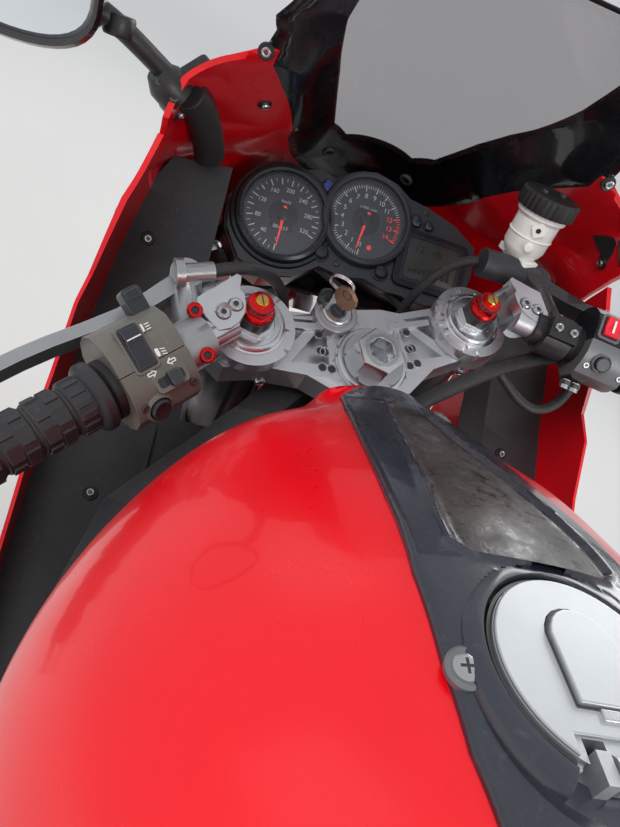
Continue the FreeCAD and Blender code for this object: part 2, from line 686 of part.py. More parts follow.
LOW_TOP = -CLAMP_THICK - 2 * CLEAR - HEAD_LENGTH
low_outline = [
    (-26, -34), (-26, 34), (0, 100), (10, 136), (32, 142), (56, 136), (66, 100), (46, 30),
    (46, -30), (66, -100), (56, -136), (32, -142), (10, -136), (0, -100)]
lower_clamp = steer_plate(low_outline, LOW_TOP - 38, LOW_TOP)
for side in (1, -1):
    lower_clamp = lower_clamp.cut(rod(steer(FORK_OFFSET, side * FORK_HALF, LOW_TOP - 60),
                                      steer(FORK_OFFSET, side * FORK_HALF, LOW_TOP + 10), TUBE_R))
nut = Part.Face(Part.makePolygon([
    steer(21 * math.cos(math.radians(60 * k)), 21 * math.sin(math.radians(60 * k)), 3)
    for k in range(7)])).extrude(AXIS * 21)
stem_tube = fuse(
    rod(steer(0, 0, LOW_TOP - 38), steer(0, 0, 22), STEM_R),
    nut, rod(steer(0, 0, 3), steer(0, 0, 8), 27))
lower_clamp = fuse(lower_clamp, stem_tube).cut(rod(steer(0, 0, LOW_TOP - 60), steer(0, 0, 60), 11.5))


def fork_leg(side):
    y = side * FORK_HALF
    u = FORK_OFFSET
    axle_a = -STEM_HEIGHT
    leg = fuse(
        rod(steer(u, y, -440), steer(u, y, 14), TUBE_R),
        rod(steer(u, y, 14), steer(u, y, 18), TUBE_R - 2),
        rod(steer(u, y, 18), steer(u, y, 34), 14),
        rod(steer(u, y, 34), steer(u, y, 46), 10),
        rod(steer(u, y, axle_a + 60), steer(u, y, -430), SLIDER_R),
        rod(steer(u, y, axle_a + 4), steer(u, y, axle_a + 96), 29 - 3),
        disc(FRONT_AXLE, side * 84 if side > 0 else -128, 128 if side > 0 else -84, 27),
        rod(steer(u - 34, side * 98, axle_a + 124), steer(u, side * 103, axle_a + 70), 10),
        rod(steer(u - 62, side * 90, axle_a + 60), steer(u, side * 100, axle_a + 48), 11))
    return leg.cut(disc(FRONT_AXLE, -140, 140, AXLE_R))


fork_left = fork_leg(1)
fork_right = fork_leg(-1)
front_axle = fuse(
    disc(FRONT_AXLE, -132, 132, AXLE_R),
    disc(FRONT_AXLE, 128, 134, 18), disc(FRONT_AXLE, -134, -128, 18),
    disc(FRONT_AXLE, 79, 84, 17), disc(FRONT_AXLE, -84, -79, 17))


def sector(centre, y0, y1, r0, r1, start, sweep):
    """A piece of a ring about a cross axis; start and sweep in degrees up from ahead."""
    face = face_of([at(r0, y0, 0), at(r1, y0, 0), at(r1, y1, 0), at(r0, y1, 0)])
    ring = face.revolve(Vector(0, 0, 0), Vector(0, -1, 0), sweep)
    ring.Placement = Placement(centre, Rotation(Vector(0, -1, 0), start))
    return ring


def front_caliper(side):
    y0, y1 = (54, 97) if side > 0 else (-97, -54)
    body = sector(FRONT_AXLE, y0, y1, 112, 180, 128, 46)
    slot = sector(FRONT_AXLE, side * DISC_Y - 8, side * DISC_Y + 8, 100, 166, 110, 90)
    return body.cut(slot)


front_caliper_left = front_caliper(1)
front_caliper_right = front_caliper(-1)
fork_left = fork_left.cut(front_caliper_left).cut(front_axle)
fork_right = fork_right.cut(front_caliper_right).cut(front_axle)

GUARD_GAP = 9.0
guard_r = FRONT_R + GUARD_GAP
guard_low = FRONT_R - 34
guard_side = FRONT_HALF + 10
guard_profile = [
    at(guard_low, guard_side, 0), at(guard_r - 8, FRONT_HALF - 15, 0), at(guard_r + 4, 0, 0),
    at(guard_r - 8, 15 - FRONT_HALF, 0), at(guard_low, -guard_side, 0)]
outer_pts = [p + Vector(WALL, 0, 0) for p in guard_profile]
outer_pts[0] = at(guard_low, guard_side + WALL, 0)
outer_pts[-1] = at(guard_low, -guard_side - WALL, 0)
guard_face = face_of(guard_profile + list(reversed(outer_pts)))
front_mudguard = guard_face.revolve(Vector(0, 0, 0), Vector(0, -1, 0), 132)
front_mudguard.Placement = Placement(FRONT_AXLE, Rotation(Vector(0, -1, 0), 42))
tab_outline = [(-60, FRONT_R - 86), (-6, FRONT_R - 94), (-20, FRONT_R + 6), (-120, FRONT_R - 24)]
guard_tab = fuse(
    side_plate(tab_outline, guard_side, guard_side + 4),
    rod(at(-78, guard_side + 2, FRONT_R - 78), at(-78, guard_side + 22, FRONT_R - 78), 8))
guard_tabs = both(guard_tab)
for tab in guard_tabs:
    tab.translate(FRONT_AXLE)
front_mudguard = fuse(front_mudguard, *guard_tabs).cut(fork_left).cut(fork_right)

BAR_R = 11.0
BAR_IN = steer(22, 120, 40)
BAR_WAY = (AHEAD * -0.49 + ACROSS * 0.87 + AXIS * 0.06).normalize()


def bar(s):
    return BAR_IN + BAR_WAY * s


def clip_on():
    ring = rod(steer(FORK_OFFSET, FORK_HALF, 0.5), steer(FORK_OFFSET, FORK_HALF, 13), TUBE_R + 9)
    wing = fuse(
        rod(steer(40, 122, 2), steer(36, 134, 46), 15),
        rod(steer(36, 134, 30), bar(14), 17))
    ring = fuse(ring, wing, rod(bar(8), bar(276), BAR_R))
    return ring.cut(rod(steer(FORK_OFFSET, FORK_HALF, -5), steer(FORK_OFFSET, FORK_HALF, 60), TUBE_R))


clip_on_left = clip_on()
clip_on_right = mirrored(clip_on_left)
GRIP_IN = 128.0
GRIP_OUT = 262.0
grip_left = fuse(
    rod(bar(GRIP_IN), bar(GRIP_OUT), 17),
    rod(bar(GRIP_IN), bar(GRIP_IN + 7), 22)).cut(rod(bar(0), bar(300), BAR_R))
grip_right = mirrored(grip_left)
END_WEIGHT = rod(bar(GRIP_OUT + 1), bar(GRIP_OUT + 30), 16)
clip_on_left = fuse(clip_on_left, END_WEIGHT)
clip_on_right = mirrored(clip_on_left)


def switch_body(s0, s1, r):
    return rod(bar(s0), bar(s1), r).cut(rod(bar(s0 - 5), bar(s1 + 5), BAR_R))


SWITCH_IN = 72.0
switch_left = switch_body(SWITCH_IN, GRIP_IN - 4, 25)
switch_right = mirrored(switch_body(SWITCH_IN + 8, GRIP_IN - 4, 23))

PERCH_IN = 34.0
PERCH_OUT = 58.0
BLADE_LOW = 34.0
BLADE_HIGH = 50.0
BLADE = [
    # ahead, left, half the blade's thickness
    (53, 157, 7), (34, 184, 6), (21.5, 205, 5), (11, 229, 4.5), (2, 251, 4.5), (-7, 270, 4.5),
    (-18, 290, 4.5), (-32, 315, 4.5), (-45, 338, 5)]


def ribbon(stations):
    """The outline on both sides of a line of (u, y, half-width) stations."""
    left, right = [], []
    last = len(stations) - 1
    for i, (u, y, half) in enumerate(stations):
        before = stations[max(i - 1, 0)]
        after = stations[min(i + 1, last)]
        length = math.hypot(after[0] - before[0], after[1] - before[1])
        du = (after[1] - before[1]) / length * half
        dy = (before[0] - after[0]) / length * half
        left.append((u + du, y + dy))
        right.append((u - du, y - dy))
    return left + right[::-1]


def lever(*extras):
    """Perch round the bar, with a blade sweeping out ahead of the grip to a round end."""
    pivot_u, pivot_y, _ = BLADE[0]
    end_u, end_y, _ = BLADE[-1]
    perch = fuse(
        rod(bar(PERCH_IN), bar(PERCH_OUT), 19),
        rod(bar((PERCH_IN + PERCH_OUT) / 2), steer(pivot_u, pivot_y, 42), 12))
    boss = rod(steer(pivot_u, pivot_y, BLADE_LOW - 4), steer(pivot_u, pivot_y, BLADE_HIGH + 4), 12)
    knob = rod(steer(end_u, end_y, BLADE_LOW), steer(end_u, end_y, BLADE_HIGH), 9)
    blade = steer_plate(ribbon(BLADE), BLADE_LOW, BLADE_HIGH)
    return fuse(perch, boss, blade, knob, *extras).cut(rod(bar(0), bar(300), BAR_R))


CABLE_R = 5.0
cable_end = steer(54, 138, 54)
clutch_lever = lever(
    rod(steer(51, 166, 55), steer(51, 160, 55), 11),
    rod(steer(51, 162, 55), cable_end, 7))
cup_low = steer(84, -150, 52)
cup_top = steer(107, -158, 99)
brake_reservoir = fuse(
    rod(cup_low, cup_top, 20),
    rod(cup_top - (cup_top - cup_low) * 0.22, cup_top, 25),
    rod(steer(72, -146, 40), cup_low + (cup_top - cup_low) * 0.1, 7))
MASTER_IN = steer(76, 110, 42)
MASTER_OUT = steer(60, 160, 42)
brake_lever = mirrored(lever(rod(MASTER_IN, MASTER_OUT, 13))).cut(brake_reservoir)

ignition_lock = fuse(
    rod(steer(44, 26, -28), steer(44, 26, 8), 19),
    rod(steer(44, 26, 8), steer(44, 26, 12), 13))
top_clamp = top_clamp.cut(ignition_lock)

# Cables and hoses that the steering carries, as points ahead, left and up from the top clamp
HOSE_R = 4.5
LOOM_R = 7.0
LOW_FACE = LOW_TOP - 38


def cord(points, r):
    return pipe([steer(*point) for point in points], r)


clutch_cable = cord([
    (54, 138, 54), (58, 122, 53), (62, 104, 46), (66, 84, 30), (66, 66, 0), (60, 58, -40),
    (50, 60, -90), (44, 64, -140), (40, 66, LOW_TOP)], CABLE_R)
master_hose = cord([
    (77, -107, 42), (80, -98, 38), (80, -82, 24), (74, -66, -4), (64, -60, -44), (54, -62, -94),
    (46, -66, -144), (42, -68, LOW_TOP)], HOSE_R)
caliper_hose = cord([
    (8, 131, LOW_FACE), (2, 129, -252), (-6, 122, -300), (-10, 110, -362), (-10, 100, -424), (-7, 92, -474),
    (-3, 86, -512)], HOSE_R)
caliper_hoses = [hose.cut(front_caliper_left).cut(front_caliper_right) for hose in both(caliper_hose)]
brake_hoses = Part.makeCompound([master_hose] + caliper_hoses)
loom = cord([
    (-14, -196, 30), (-8, -176, 15), (-10, -148, 12), (-18, -108, 12), (-34, -52, 2), (-43, -26, -6),
    (-44, -4, -12), (-30, 10, -14)], LOOM_R)
throttle_loop = cord([
    (-22, -199, 28), (-36, -196, 10), (-50, -182, -4), (-52, -160, -8), (-42, -142, -4), (-28, -128, 4),
    (-16, -116, 12)], HOSE_R)
wiring_loom = fuse(loom, throttle_loop).cut(top_clamp)
clutch_cable = clutch_cable.cut(clutch_lever).cut(lower_clamp)
brake_hoses = brake_hoses.cut(lower_clamp)
for name, route, r in (("clutch_cable", clutch_cable, CABLE_R), ("master_hose", master_hose, HOSE_R),
                       ("caliper_hose", caliper_hose, HOSE_R), ("loom", loom, LOOM_R)):
    print(name, "length", round(route.Volume / (math.pi * r * r)))

# Stand, mirrors and footrests


def mirror(side):
    foot = at(1224, side * 190, 1002)
    block = at(1222, side * 222, 1012)
    joint = at(1210, side * 268, 1040)
    lean = Vector(-0.25, 0, 0.97)
    head = loft([
        rect_wire(at(1196, side * 345, 1062), None, ACROSS, lean, 170, 96),
        rect_wire(at(1240, side * 340, 1056), None, ACROSS, lean, 104, 52)])
    return fuse(rod(foot, block, 17), rod(block, joint, 7), rod(joint, at(1216, side * 300, 1050), 9), head)


mirrors = Part.makeCompound(both(mirror(1).cut(hull_out)))


def footrest():
    hanger = side_plate([(548, 380), (505, 396), (400, 348), (392, 318), (430, 312), (540, 330)], 184.5, 192)
    peg = rod(at(415, 190, 332), at(405, 288, 332), 10)
    return fuse(hanger, peg, rod(at(525, 184, 362), at(525, 194, 362), 14))


left_rest = fuse(
    footrest(),
    rod(at(440, 200, 330), at(600, 214, 300), 6),
    rod(at(600, 206, 300), at(604, 246, 300), 7),
    rod(at(440, 190, 330), at(440, 206, 330), 10))
right_rest = fuse(
    mirrored(footrest()),
    rod(at(440, -200, 330), at(590, -216, 290), 6),
    rod(at(590, -208, 290), at(594, -240, 290), 7),
    rod(at(440, -190, 330), at(440, -206, 330), 10))
footrests = Part.makeCompound([left_rest, right_rest])

caliper_back = sector(REAR_AXLE, -118, -72, 66, 122, 196, 48)
caliper_back = caliper_back.cut(sector(REAR_AXLE, -103, -87, 60, 116, 180, 90))
rear_caliper = fuse(
    caliper_back,
    sector(REAR_AXLE, -121.9, -106, 20, 100, 205, 30)).cut(disc(REAR_AXLE, -140, 0, 19))
rear_caliper = rear_caliper.cut(rear_axle)


def leaned(pitch):
    return Placement(Vector(0, 0, 0), Rotation(Vector(1, 0, 0), -math.degrees(LEAN))).multiply(
        Placement(Vector(0, 0, 0), Rotation(ACROSS, math.degrees(pitch))))


TURNED = Placement(STEM, Rotation(AXIS, math.degrees(TURN))).multiply(
    Placement(STEM * -1, Rotation()))


def lowest(place, centre, radius, half):
    """Height of the lowest point of a tyre, which is on one of its tread's edges."""
    axle = place.Rotation.multVec(ACROSS)
    drop = math.sqrt(1 - axle.z ** 2)
    corners = crown_points(radius, half, 0, 3)
    return place.multVec(centre).z + min(axle.z * y - r * drop for r, y in corners)


pitch = 0.0
for _ in range(8):
    front_low = lowest(leaned(pitch).multiply(TURNED), FRONT_AXLE, FRONT_R, FRONT_HALF)
    rear_low = lowest(leaned(pitch), REAR_AXLE, REAR_R, REAR_HALF)
    pitch += (front_low - rear_low) / WHEELBASE
STANDING = leaned(pitch)
STANDING.Base = Vector(0, 0, -lowest(STANDING, REAR_AXLE, REAR_R, REAR_HALF))

# The stand: its foot lies flat on the ground, so it is placed there and brought back.
STAND_PIN = at(578, 172, 236)
STAND_FOOT = at(628, 262, 0)
UPRIGHT = STANDING.inverse()
foot_top = UPRIGHT.multVec(Vector(STAND_FOOT.x, STAND_FOOT.y, 10))
foot_low = UPRIGHT.multVec(Vector(STAND_FOOT.x, STAND_FOOT.y, 0))
leg_way = (foot_top - STAND_PIN).normalize()
folded_way = at(-1.0, 0.12, 0.08).normalize()
STAND_AXIS = leg_way.cross(folded_way).normalize()
stand_lug = rod(STAND_PIN - STAND_AXIS * 36, STAND_PIN - STAND_AXIS * 9, 15)
stand_bolt = rod(STAND_PIN - STAND_AXIS * 20, STAND_PIN + STAND_AXIS * 16, 7)
bolt_head = rod(STAND_PIN + STAND_AXIS * 13, STAND_PIN + STAND_AXIS * 18, 12)
side_stand = fuse(
    rod(STAND_PIN - STAND_AXIS * 8, STAND_PIN + STAND_AXIS * 12, 15),
    rod(STAND_PIN + leg_way * 9 + STAND_AXIS * 2, foot_top, 8.5),
    rod(foot_low, foot_top, 24))
side_stand = side_stand.cut(rod(STAND_PIN - STAND_AXIS * 30, STAND_PIN + STAND_AXIS * 30, 7 + RUNNING_FIT))
stand_arm = rod(STAND_PIN - STAND_AXIS * 27, at(557, 140, 292), 9)
stand_mount = fuse(stand_lug, stand_bolt, bolt_head, stand_arm)
frame = fuse(frame, stand_mount.cut(swingarm))

# Last fits between neighbours of one body

engine = engine.cut(frame)
exhaust_headers = exhaust_headers.cut(engine)
radiator = radiator.cut(frame)
swingarm = swingarm.cut(frame)
windscreen = windscreen.cut(upper_fairing)
instrument_cluster = instrument_cluster.cut(hull_out.cut(hull_in))
clutch_lever = clutch_lever.cut(clip_on_left)
brake_lever = brake_lever.cut(clip_on_right)
switch_left = switch_left.cut(clutch_lever)
switch_right = switch_right.cut(brake_lever)
wiring_loom = main_solid(wiring_loom.cut(switch_right).cut(clip_on_right))
clip_on_left = clip_on_left.cut(top_clamp)
clip_on_right = clip_on_right.cut(top_clamp)

CHASSIS = {
    "frame": frame, "subframe": subframe, "nose_stay": nose_stay, "engine": engine, "radiator": radiator, "exhaust_headers": exhaust_headers,
    "silencer": silencer, "fuel_tank": fuel_tank, "tank_panel": tank_panel,
    "filler_ring": filler_ring, "rider_seat": rider_seat, "pillion_seat": pillion_seat,
    "tail_cowl": tail_cowl, "tail_light": tail_light, "rear_mudguard": rear_mudguard,
    "upper_fairing": upper_fairing, "side_fairing_left": side_fairing_left,
    "side_fairing_right": side_fairing_right, "lower_cowl": lower_cowl,
    "windscreen": windscreen, "headlight": headlight, "inner_panel_left": inner_panel_left,
    "inner_panel_right": inner_panel_right, "instrument_cluster": instrument_cluster,
    "mirrors": mirrors, "swingarm": swingarm,
    "rear_shock": rear_shock, "chain": chain, "rear_caliper": rear_caliper,
    "rear_axle": rear_axle, "footrests": footrests,
}
STEERING = {
    "top_clamp": top_clamp, "lower_clamp": lower_clamp, "fork_left": fork_left,
    "fork_right": fork_right, "front_axle": front_axle, "front_mudguard": front_mudguard,
    "clip_on_left": clip_on_left, "clip_on_right": clip_on_right, "grip_left": grip_left,
    "grip_right": grip_right, "switch_left": switch_left, "switch_right": switch_right,
    "clutch_lever": clutch_lever, "brake_lever": brake_lever, "brake_reservoir": brake_reservoir,
    "front_calipers": Part.makeCompound([front_caliper_left, front_caliper_right]),
    "ignition_lock": ignition_lock, "clutch_cable": clutch_cable, "brake_hoses": brake_hoses,
    "wiring_loom": wiring_loom,
}
FRONT_WHEEL = {"front_rim": front_rim, "front_tyre": front_tyre, "front_discs": front_discs}
REAR_WHEEL = {
    "rear_rim": rear_rim, "rear_tyre": rear_tyre, "rear_disc": rear_disc,
    "rear_sprocket": rear_sprocket}
SIDE_STAND = {"side_stand": side_stand}
FUEL_LID = {"fuel_lid": fuel_lid}

GROUPS = [
    (CHASSIS, STANDING), (STEERING, STANDING.multiply(TURNED)),
    (FRONT_WHEEL, STANDING.multiply(TURNED)), (REAR_WHEEL, STANDING), (SIDE_STAND, STANDING),
    (FUEL_LID, STANDING)]

placed = {}
for group, place in GROUPS:
    for name, shape in group.items():
        piece = shape.copy()
        piece.Placement = place.multiply(piece.Placement)
        placed[name] = piece

low_x = min(piece.BoundBox.XMin for piece in placed.values())
high_x = max(piece.BoundBox.XMax for piece in placed.values())
low_y = min(piece.BoundBox.YMin for piece in placed.values())
high_y = max(piece.BoundBox.YMax for piece in placed.values())
CENTRE = Vector(-(low_x + high_x) / 2, -(low_y + high_y) / 2, 0)

os.makedirs("parts", exist_ok=True)
for name, piece in placed.items():
    piece.translate(CENTRE)
    piece.exportStep("parts/" + name + ".step")
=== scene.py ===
import json
from math import asin, atan2, copysign, cos, exp, hypot, pi, radians, sin, sqrt

import bmesh
import bpy
from mathutils import Matrix, Vector
from mathutils.bvhtree import BVHTree


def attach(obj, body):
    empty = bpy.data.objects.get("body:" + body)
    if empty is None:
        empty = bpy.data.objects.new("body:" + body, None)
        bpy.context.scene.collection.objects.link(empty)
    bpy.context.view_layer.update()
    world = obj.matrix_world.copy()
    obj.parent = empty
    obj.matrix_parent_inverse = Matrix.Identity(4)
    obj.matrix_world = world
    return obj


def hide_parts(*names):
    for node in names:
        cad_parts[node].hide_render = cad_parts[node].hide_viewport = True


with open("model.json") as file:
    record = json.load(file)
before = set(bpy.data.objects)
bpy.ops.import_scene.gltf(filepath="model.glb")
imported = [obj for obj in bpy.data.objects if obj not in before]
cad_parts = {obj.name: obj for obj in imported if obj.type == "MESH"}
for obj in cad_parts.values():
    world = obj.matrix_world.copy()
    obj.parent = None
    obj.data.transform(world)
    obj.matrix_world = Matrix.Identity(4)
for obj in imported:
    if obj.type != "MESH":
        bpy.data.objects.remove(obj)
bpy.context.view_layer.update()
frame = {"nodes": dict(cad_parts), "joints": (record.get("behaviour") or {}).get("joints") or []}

# Directions and places of the bike, read from its joints. Drawing is in millimetres.
MM = 0.001
WELD_GAP = 0.02 * MM
SIDES = (1, -1)
RAKE = radians(24.0)
REAR_AXLE_HEIGHT = 315.0
DASH_PLACE = (1323, 0, 915)
DASH_TILT = radians(45.0)
JOINTS = {joint["name"]: joint for joint in frame["joints"]}


def joint_place(name):
    return Vector(JOINTS[name]["pos_m"])


def joint_way(name):
    return Vector(JOINTS[name]["axis"]).normalized()


def at(x, y, z=0.0):
    return Matrix.Translation((x, y, z))


def spun(angle, axis="Z"):
    return Matrix.Rotation(radians(angle), 4, axis)


def turned(x_way, y_way, z_way):
    """A rotation that carries the three axes to these directions."""
    return Matrix((x_way, y_way, z_way)).transposed().to_4x4()


def turned_to(way):
    """A rotation that carries +Z to the given direction."""
    return Vector((0, 0, 1)).rotation_difference(Vector(way).normalized()).to_matrix().to_4x4()


def placed(origin, way=(0, 0, 1)):
    """A place whose +Z points along way."""
    return Matrix.Translation(origin) @ turned_to(way)


def axes(x_way, y_way, z_way, origin):
    """Takes millimetres along three directions to metres in the frame."""
    return Matrix.Translation(origin) @ turned(x_way, y_way, z_way) @ Matrix.Scale(MM, 4)


stem_way = joint_way("steering_turn")
left_way = joint_way("rear_wheel_spin")
turned_left = joint_way("front_wheel_spin")
turned_ahead = turned_left.cross(stem_way)
straight_ahead = left_way.cross(stem_way)
forward = straight_ahead * cos(RAKE) - stem_way * sin(RAKE)
upward = straight_ahead * sin(RAKE) + stem_way * cos(RAKE)
rear_hub = joint_place("rear_wheel_spin")

# BIKE is ahead, left and up from the ground under the rear axle, bike upright.
# BARS is ahead, left and up the steering axis from the top clamp, turned with it.
BIKE = axes(forward, left_way, upward, rear_hub - upward * REAR_AXLE_HEIGHT * MM)
BARS = axes(turned_ahead, turned_left, stem_way, joint_place("steering_turn"))
FRONT = axes(turned_ahead, turned_left, stem_way, joint_place("front_wheel_spin"))
REAR = axes(forward, left_way, upward, rear_hub)
DASH = BIKE @ at(*DASH_PLACE) @ turned(
    (0, -1, 0), (cos(DASH_TILT), 0, sin(DASH_TILT)), (-sin(DASH_TILT), 0, cos(DASH_TILT)))
BIKE_BACK = BIKE.inverted()


def bike_way(x, y, z):
    """A direction of the bike, in the frame."""
    return (BIKE.to_3x3() @ Vector((x, y, z))).normalized()


def way_back(way):
    """A direction of the frame, in the bike."""
    return (BIKE_BACK.to_3x3() @ way).normalized()


DOWN = bike_way(0, 0, -1)


# Materials
BLACK = (0, 0, 0, 1)
WHITE = (1, 1, 1, 1)


def grey(value):
    return (value, value, value, 1)


def rgba(colour, factor=1.0):
    return tuple(min(1.0, c * factor) for c in colour[:3]) + (1.0,)


def link(tree, source, target):
    tree.links.new(source, target)


def set_inputs(made, **values):
    """Sets input values, with an underscore for each space in a socket's name."""
    for key, value in values.items():
        made.inputs[key.replace("_", " ")].default_value = value


def node(tree, kind, **values):
    """A new node with its properties and input values."""
    made = tree.nodes.new(kind)
    for key, value in values.items():
        if hasattr(made, key):
            setattr(made, key, value)
        else:
            set_inputs(made, **{key: value})
    return made


def noise(tree, coords, scale, detail=3.0, rough=0.55):
    made = node(tree, "ShaderNodeTexNoise", Scale=scale, Detail=detail, Roughness=rough)
    link(tree, coords, made.inputs["Vector"])
    return made.outputs["Fac"]


def ramp(tree, value, low, high, low_colour=BLACK, high_colour=WHITE):
    made = node(tree, "ShaderNodeValToRGB")
    for element, spot, colour in zip(made.color_ramp.elements, (low, high), (low_colour, high_colour)):
        element.position = spot
        element.color = colour
    link(tree, value, made.inputs["Fac"])
    return made.outputs["Color"]


def mixed(tree, share, first, second, how="MIX"):
    """Colour between two colours or sockets; share is a number or a socket."""
    made = node(tree, "ShaderNodeMix", data_type="RGBA", blend_type=how)
    for value, socket in zip((share, first, second), (made.inputs[0], made.inputs[6], made.inputs[7])):
        if hasattr(value, "links"):
            link(tree, value, socket)
        else:
            socket.default_value = value
    return made.outputs[2]


def calculated(tree, operation, first, second):
    """A math node's result on a socket and a socket."""
    made = node(tree, "ShaderNodeMath", operation=operation)
    link(tree, first, made.inputs[0])
    link(tree, second, made.inputs[1])
    return made.outputs[0]


def mapped(tree, value, low, high, new_low, new_high):
    made = node(tree, "ShaderNodeMapRange", From_Min=low, From_Max=high, To_Min=new_low, To_Max=new_high)
    link(tree, value, made.inputs["Value"])
    return made.outputs["Result"]


def worn_edges(tree, place, strength, size):
    """How much each spot is a worn edge, by how far a bevelled normal leaves the face's own."""
    soft = node(tree, "ShaderNodeBevel", samples=4, Radius=size)
    flat = node(tree, "ShaderNodeNewGeometry").outputs["Normal"]
    dot = node(tree, "ShaderNodeVectorMath", operation="DOT_PRODUCT")
    link(tree, soft.outputs["Normal"], dot.inputs[0])
    link(tree, flat, dot.inputs[1])
    ragged = node(tree, "ShaderNodeMath", operation="MULTIPLY_ADD")
    link(tree, noise(tree, place, scale=260.0), ragged.inputs[0])
    ragged.inputs[1].default_value = 0.12
    link(tree, dot.outputs["Value"], ragged.inputs[2])
    return ramp(tree, ragged.outputs[0], 0.90, 1.05, grey(strength), BLACK)


def scratch_lines(tree, place, strength):
    """Thin crooked lines in patches."""
    lines = node(tree, "ShaderNodeTexWave", wave_type="BANDS", bands_direction="DIAGONAL", Scale=22.0,
                 Distortion=26.0, Detail=3.0, Detail_Scale=1.6)
    link(tree, place, lines.inputs["Vector"])
    thin = ramp(tree, lines.outputs["Fac"], 0.962, 0.995, BLACK, grey(strength))
    patches = ramp(tree, noise(tree, place, scale=21.0), 0.5, 0.68)
    return mixed(tree, 1.0, thin, patches, "MULTIPLY")


def shader_of(material):
    return material.node_tree.nodes["Principled BSDF"]


def surface(name, colour, rough=0.4, metal=0.0, coat=0.0, coat_rough=0.04, mottle=0.12, mottle_size=0.08,
            rough_spread=0.08, grain=0.0, grain_size=0.0012, edge=0.0, edge_colour=None, edge_size=0.0012,
            scratches=0.0, dust=0.0, dust_colour=(0.35, 0.32, 0.28), stretch=(1, 1, 1), orange_peel=0.0,
            sheen=0.0):
    """A procedural finish: uneven colour and gloss, fine grain, worn edges, scratches and dust."""
    material = bpy.data.materials.new(name)
    material.use_nodes = True
    tree = material.node_tree
    shader = shader_of(material)
    set_inputs(shader, Metallic=metal, Coat_Weight=coat, Coat_Roughness=coat_rough, Sheen_Weight=sheen)
    place = node(tree, "ShaderNodeTexCoord").outputs["Object"]
    mapping = node(tree, "ShaderNodeMapping", Scale=stretch)
    link(tree, place, mapping.inputs["Vector"])
    brushed = mapping.outputs["Vector"]
    cloud = noise(tree, place, 1.0 / mottle_size, 4.0)
    tint = ramp(tree, cloud, 0.3, 0.7, rgba(colour, 1.0 - mottle), rgba(colour, 1.0 + mottle))
    gloss = mapped(tree, noise(tree, brushed, 3.0 / mottle_size, 5.0, 0.65), 0.3, 0.7,
                   max(0.02, rough - rough_spread), min(1.0, rough + rough_spread))
    if edge > 0.0:
        worn = worn_edges(tree, place, edge, edge_size)
        tint = mixed(tree, worn, tint, rgba(edge_colour or colour, 1.0 if edge_colour else 1.5))
    if scratches > 0.0:
        tint = mixed(tree, scratch_lines(tree, place, scratches), tint, rgba(colour, 3.2))
    if dust > 0.0:
        specks = ramp(tree, noise(tree, place, 190.0, 6.0, 0.72), 0.56, 0.72, BLACK, grey(dust))
        haze = ramp(tree, noise(tree, place, 9.0, 5.0, 0.6), 0.42, 0.75, BLACK, grey(dust))
        tint = mixed(tree, specks, tint, rgba(dust_colour))
        tint = mixed(tree, mixed(tree, 0.6, haze, BLACK), tint, rgba(dust_colour))
    link(tree, tint, shader.inputs["Base Color"])
    link(tree, gloss, shader.inputs["Roughness"])
    if grain > 0.0:
        bump = node(tree, "ShaderNodeBump", Strength=grain, Distance=0.0006)
        link(tree, noise(tree, brushed, 0.35 / grain_size, 2.0), bump.inputs["Height"])
    elif orange_peel > 0.0:
        bump = node(tree, "ShaderNodeBump", Strength=orange_peel, Distance=0.0004)
        link(tree, noise(tree, place, 420.0, 1.0), bump.inputs["Height"])
    if grain > 0.0 or orange_peel > 0.0:
        link(tree, bump.outputs["Normal"], shader.inputs["Normal"])
    return material


def clear(name, colour, rough, alpha):
    """Thin tinted clear plastic: its alpha is how much it hides, so light still falls on what is behind."""
    material = surface(name, colour, rough, mottle=0.04, rough_spread=0.015)
    set_inputs(shader_of(material), IOR=1.45, Alpha=alpha)
    return material


# A finish that gives off light of its own colour, though the part is no lamp: painted glow.
def with_painted_glow(name, colour, strength):
    material = surface(name, colour, 0.3)
    set_inputs(shader_of(material), Emission_Color=rgba(colour), Emission_Strength=strength)
    return material


RED = (0.70, 0.001, 0.008)
PAINT = surface("red_paint", RED, 0.30, coat=0.35, coat_rough=0.04, mottle=0.04, rough_spread=0.04,
                orange_peel=0.03, dust=0.02, dust_colour=(0.5, 0.08, 0.07))
GLOSS_BLACK = surface("gloss_black", (0.006, 0.006, 0.008), 0.2, coat=1.0, mottle=0.2, dust=0.05)
PANEL_BLACK = surface("tank_panel_black", (0.012, 0.014, 0.024), 0.28, coat=0.8, coat_rough=0.12, mottle=0.3,
                      scratches=0.18, dust=0.16, dust_colour=(0.16, 0.16, 0.17))
DASH_GREY = surface("dash_grey", (0.030, 0.033, 0.040), 0.46, mottle=0.16, grain=0.35, grain_size=0.0006,
                    edge=0.35, dust=0.05)
DASH_BLACK = surface("dash_black", (0.010, 0.011, 0.014), 0.35, mottle=0.2, grain=0.15, grain_size=0.0006,
                     edge=0.2)
# Inner panel grey, set darker than the plastic itself to stand for the shade the cockpit lies in: painted
# shade.
INNER_GREY_PAINTED_SHADE = surface("inner_grey_painted_shade", (0.026, 0.026, 0.028), 0.52, mottle=0.22, mottle_size=0.16, grain=0.4,
                     grain_size=0.0008, scratches=0.4, dust=0.12, dust_colour=(0.16, 0.15, 0.14), edge=0.3)
BLACK_PLASTIC = surface("black_plastic", (0.014, 0.014, 0.015), 0.42, mottle=0.2, grain=0.3,
                        grain_size=0.0006, edge=0.3, dust=0.06)
OLIVE = surface("switch_olive", (0.115, 0.110, 0.094), 0.42, mottle=0.08, grain=0.25, grain_size=0.0005,
                edge=0.45, edge_colour=(0.22, 0.21, 0.19), dust=0.16, dust_colour=(0.32, 0.30, 0.26))
BUTTON = surface("button_black", (0.018, 0.020, 0.024), 0.26, mottle=0.25, grain=0.08, edge=0.4,
                 edge_colour=(0.20, 0.21, 0.23))
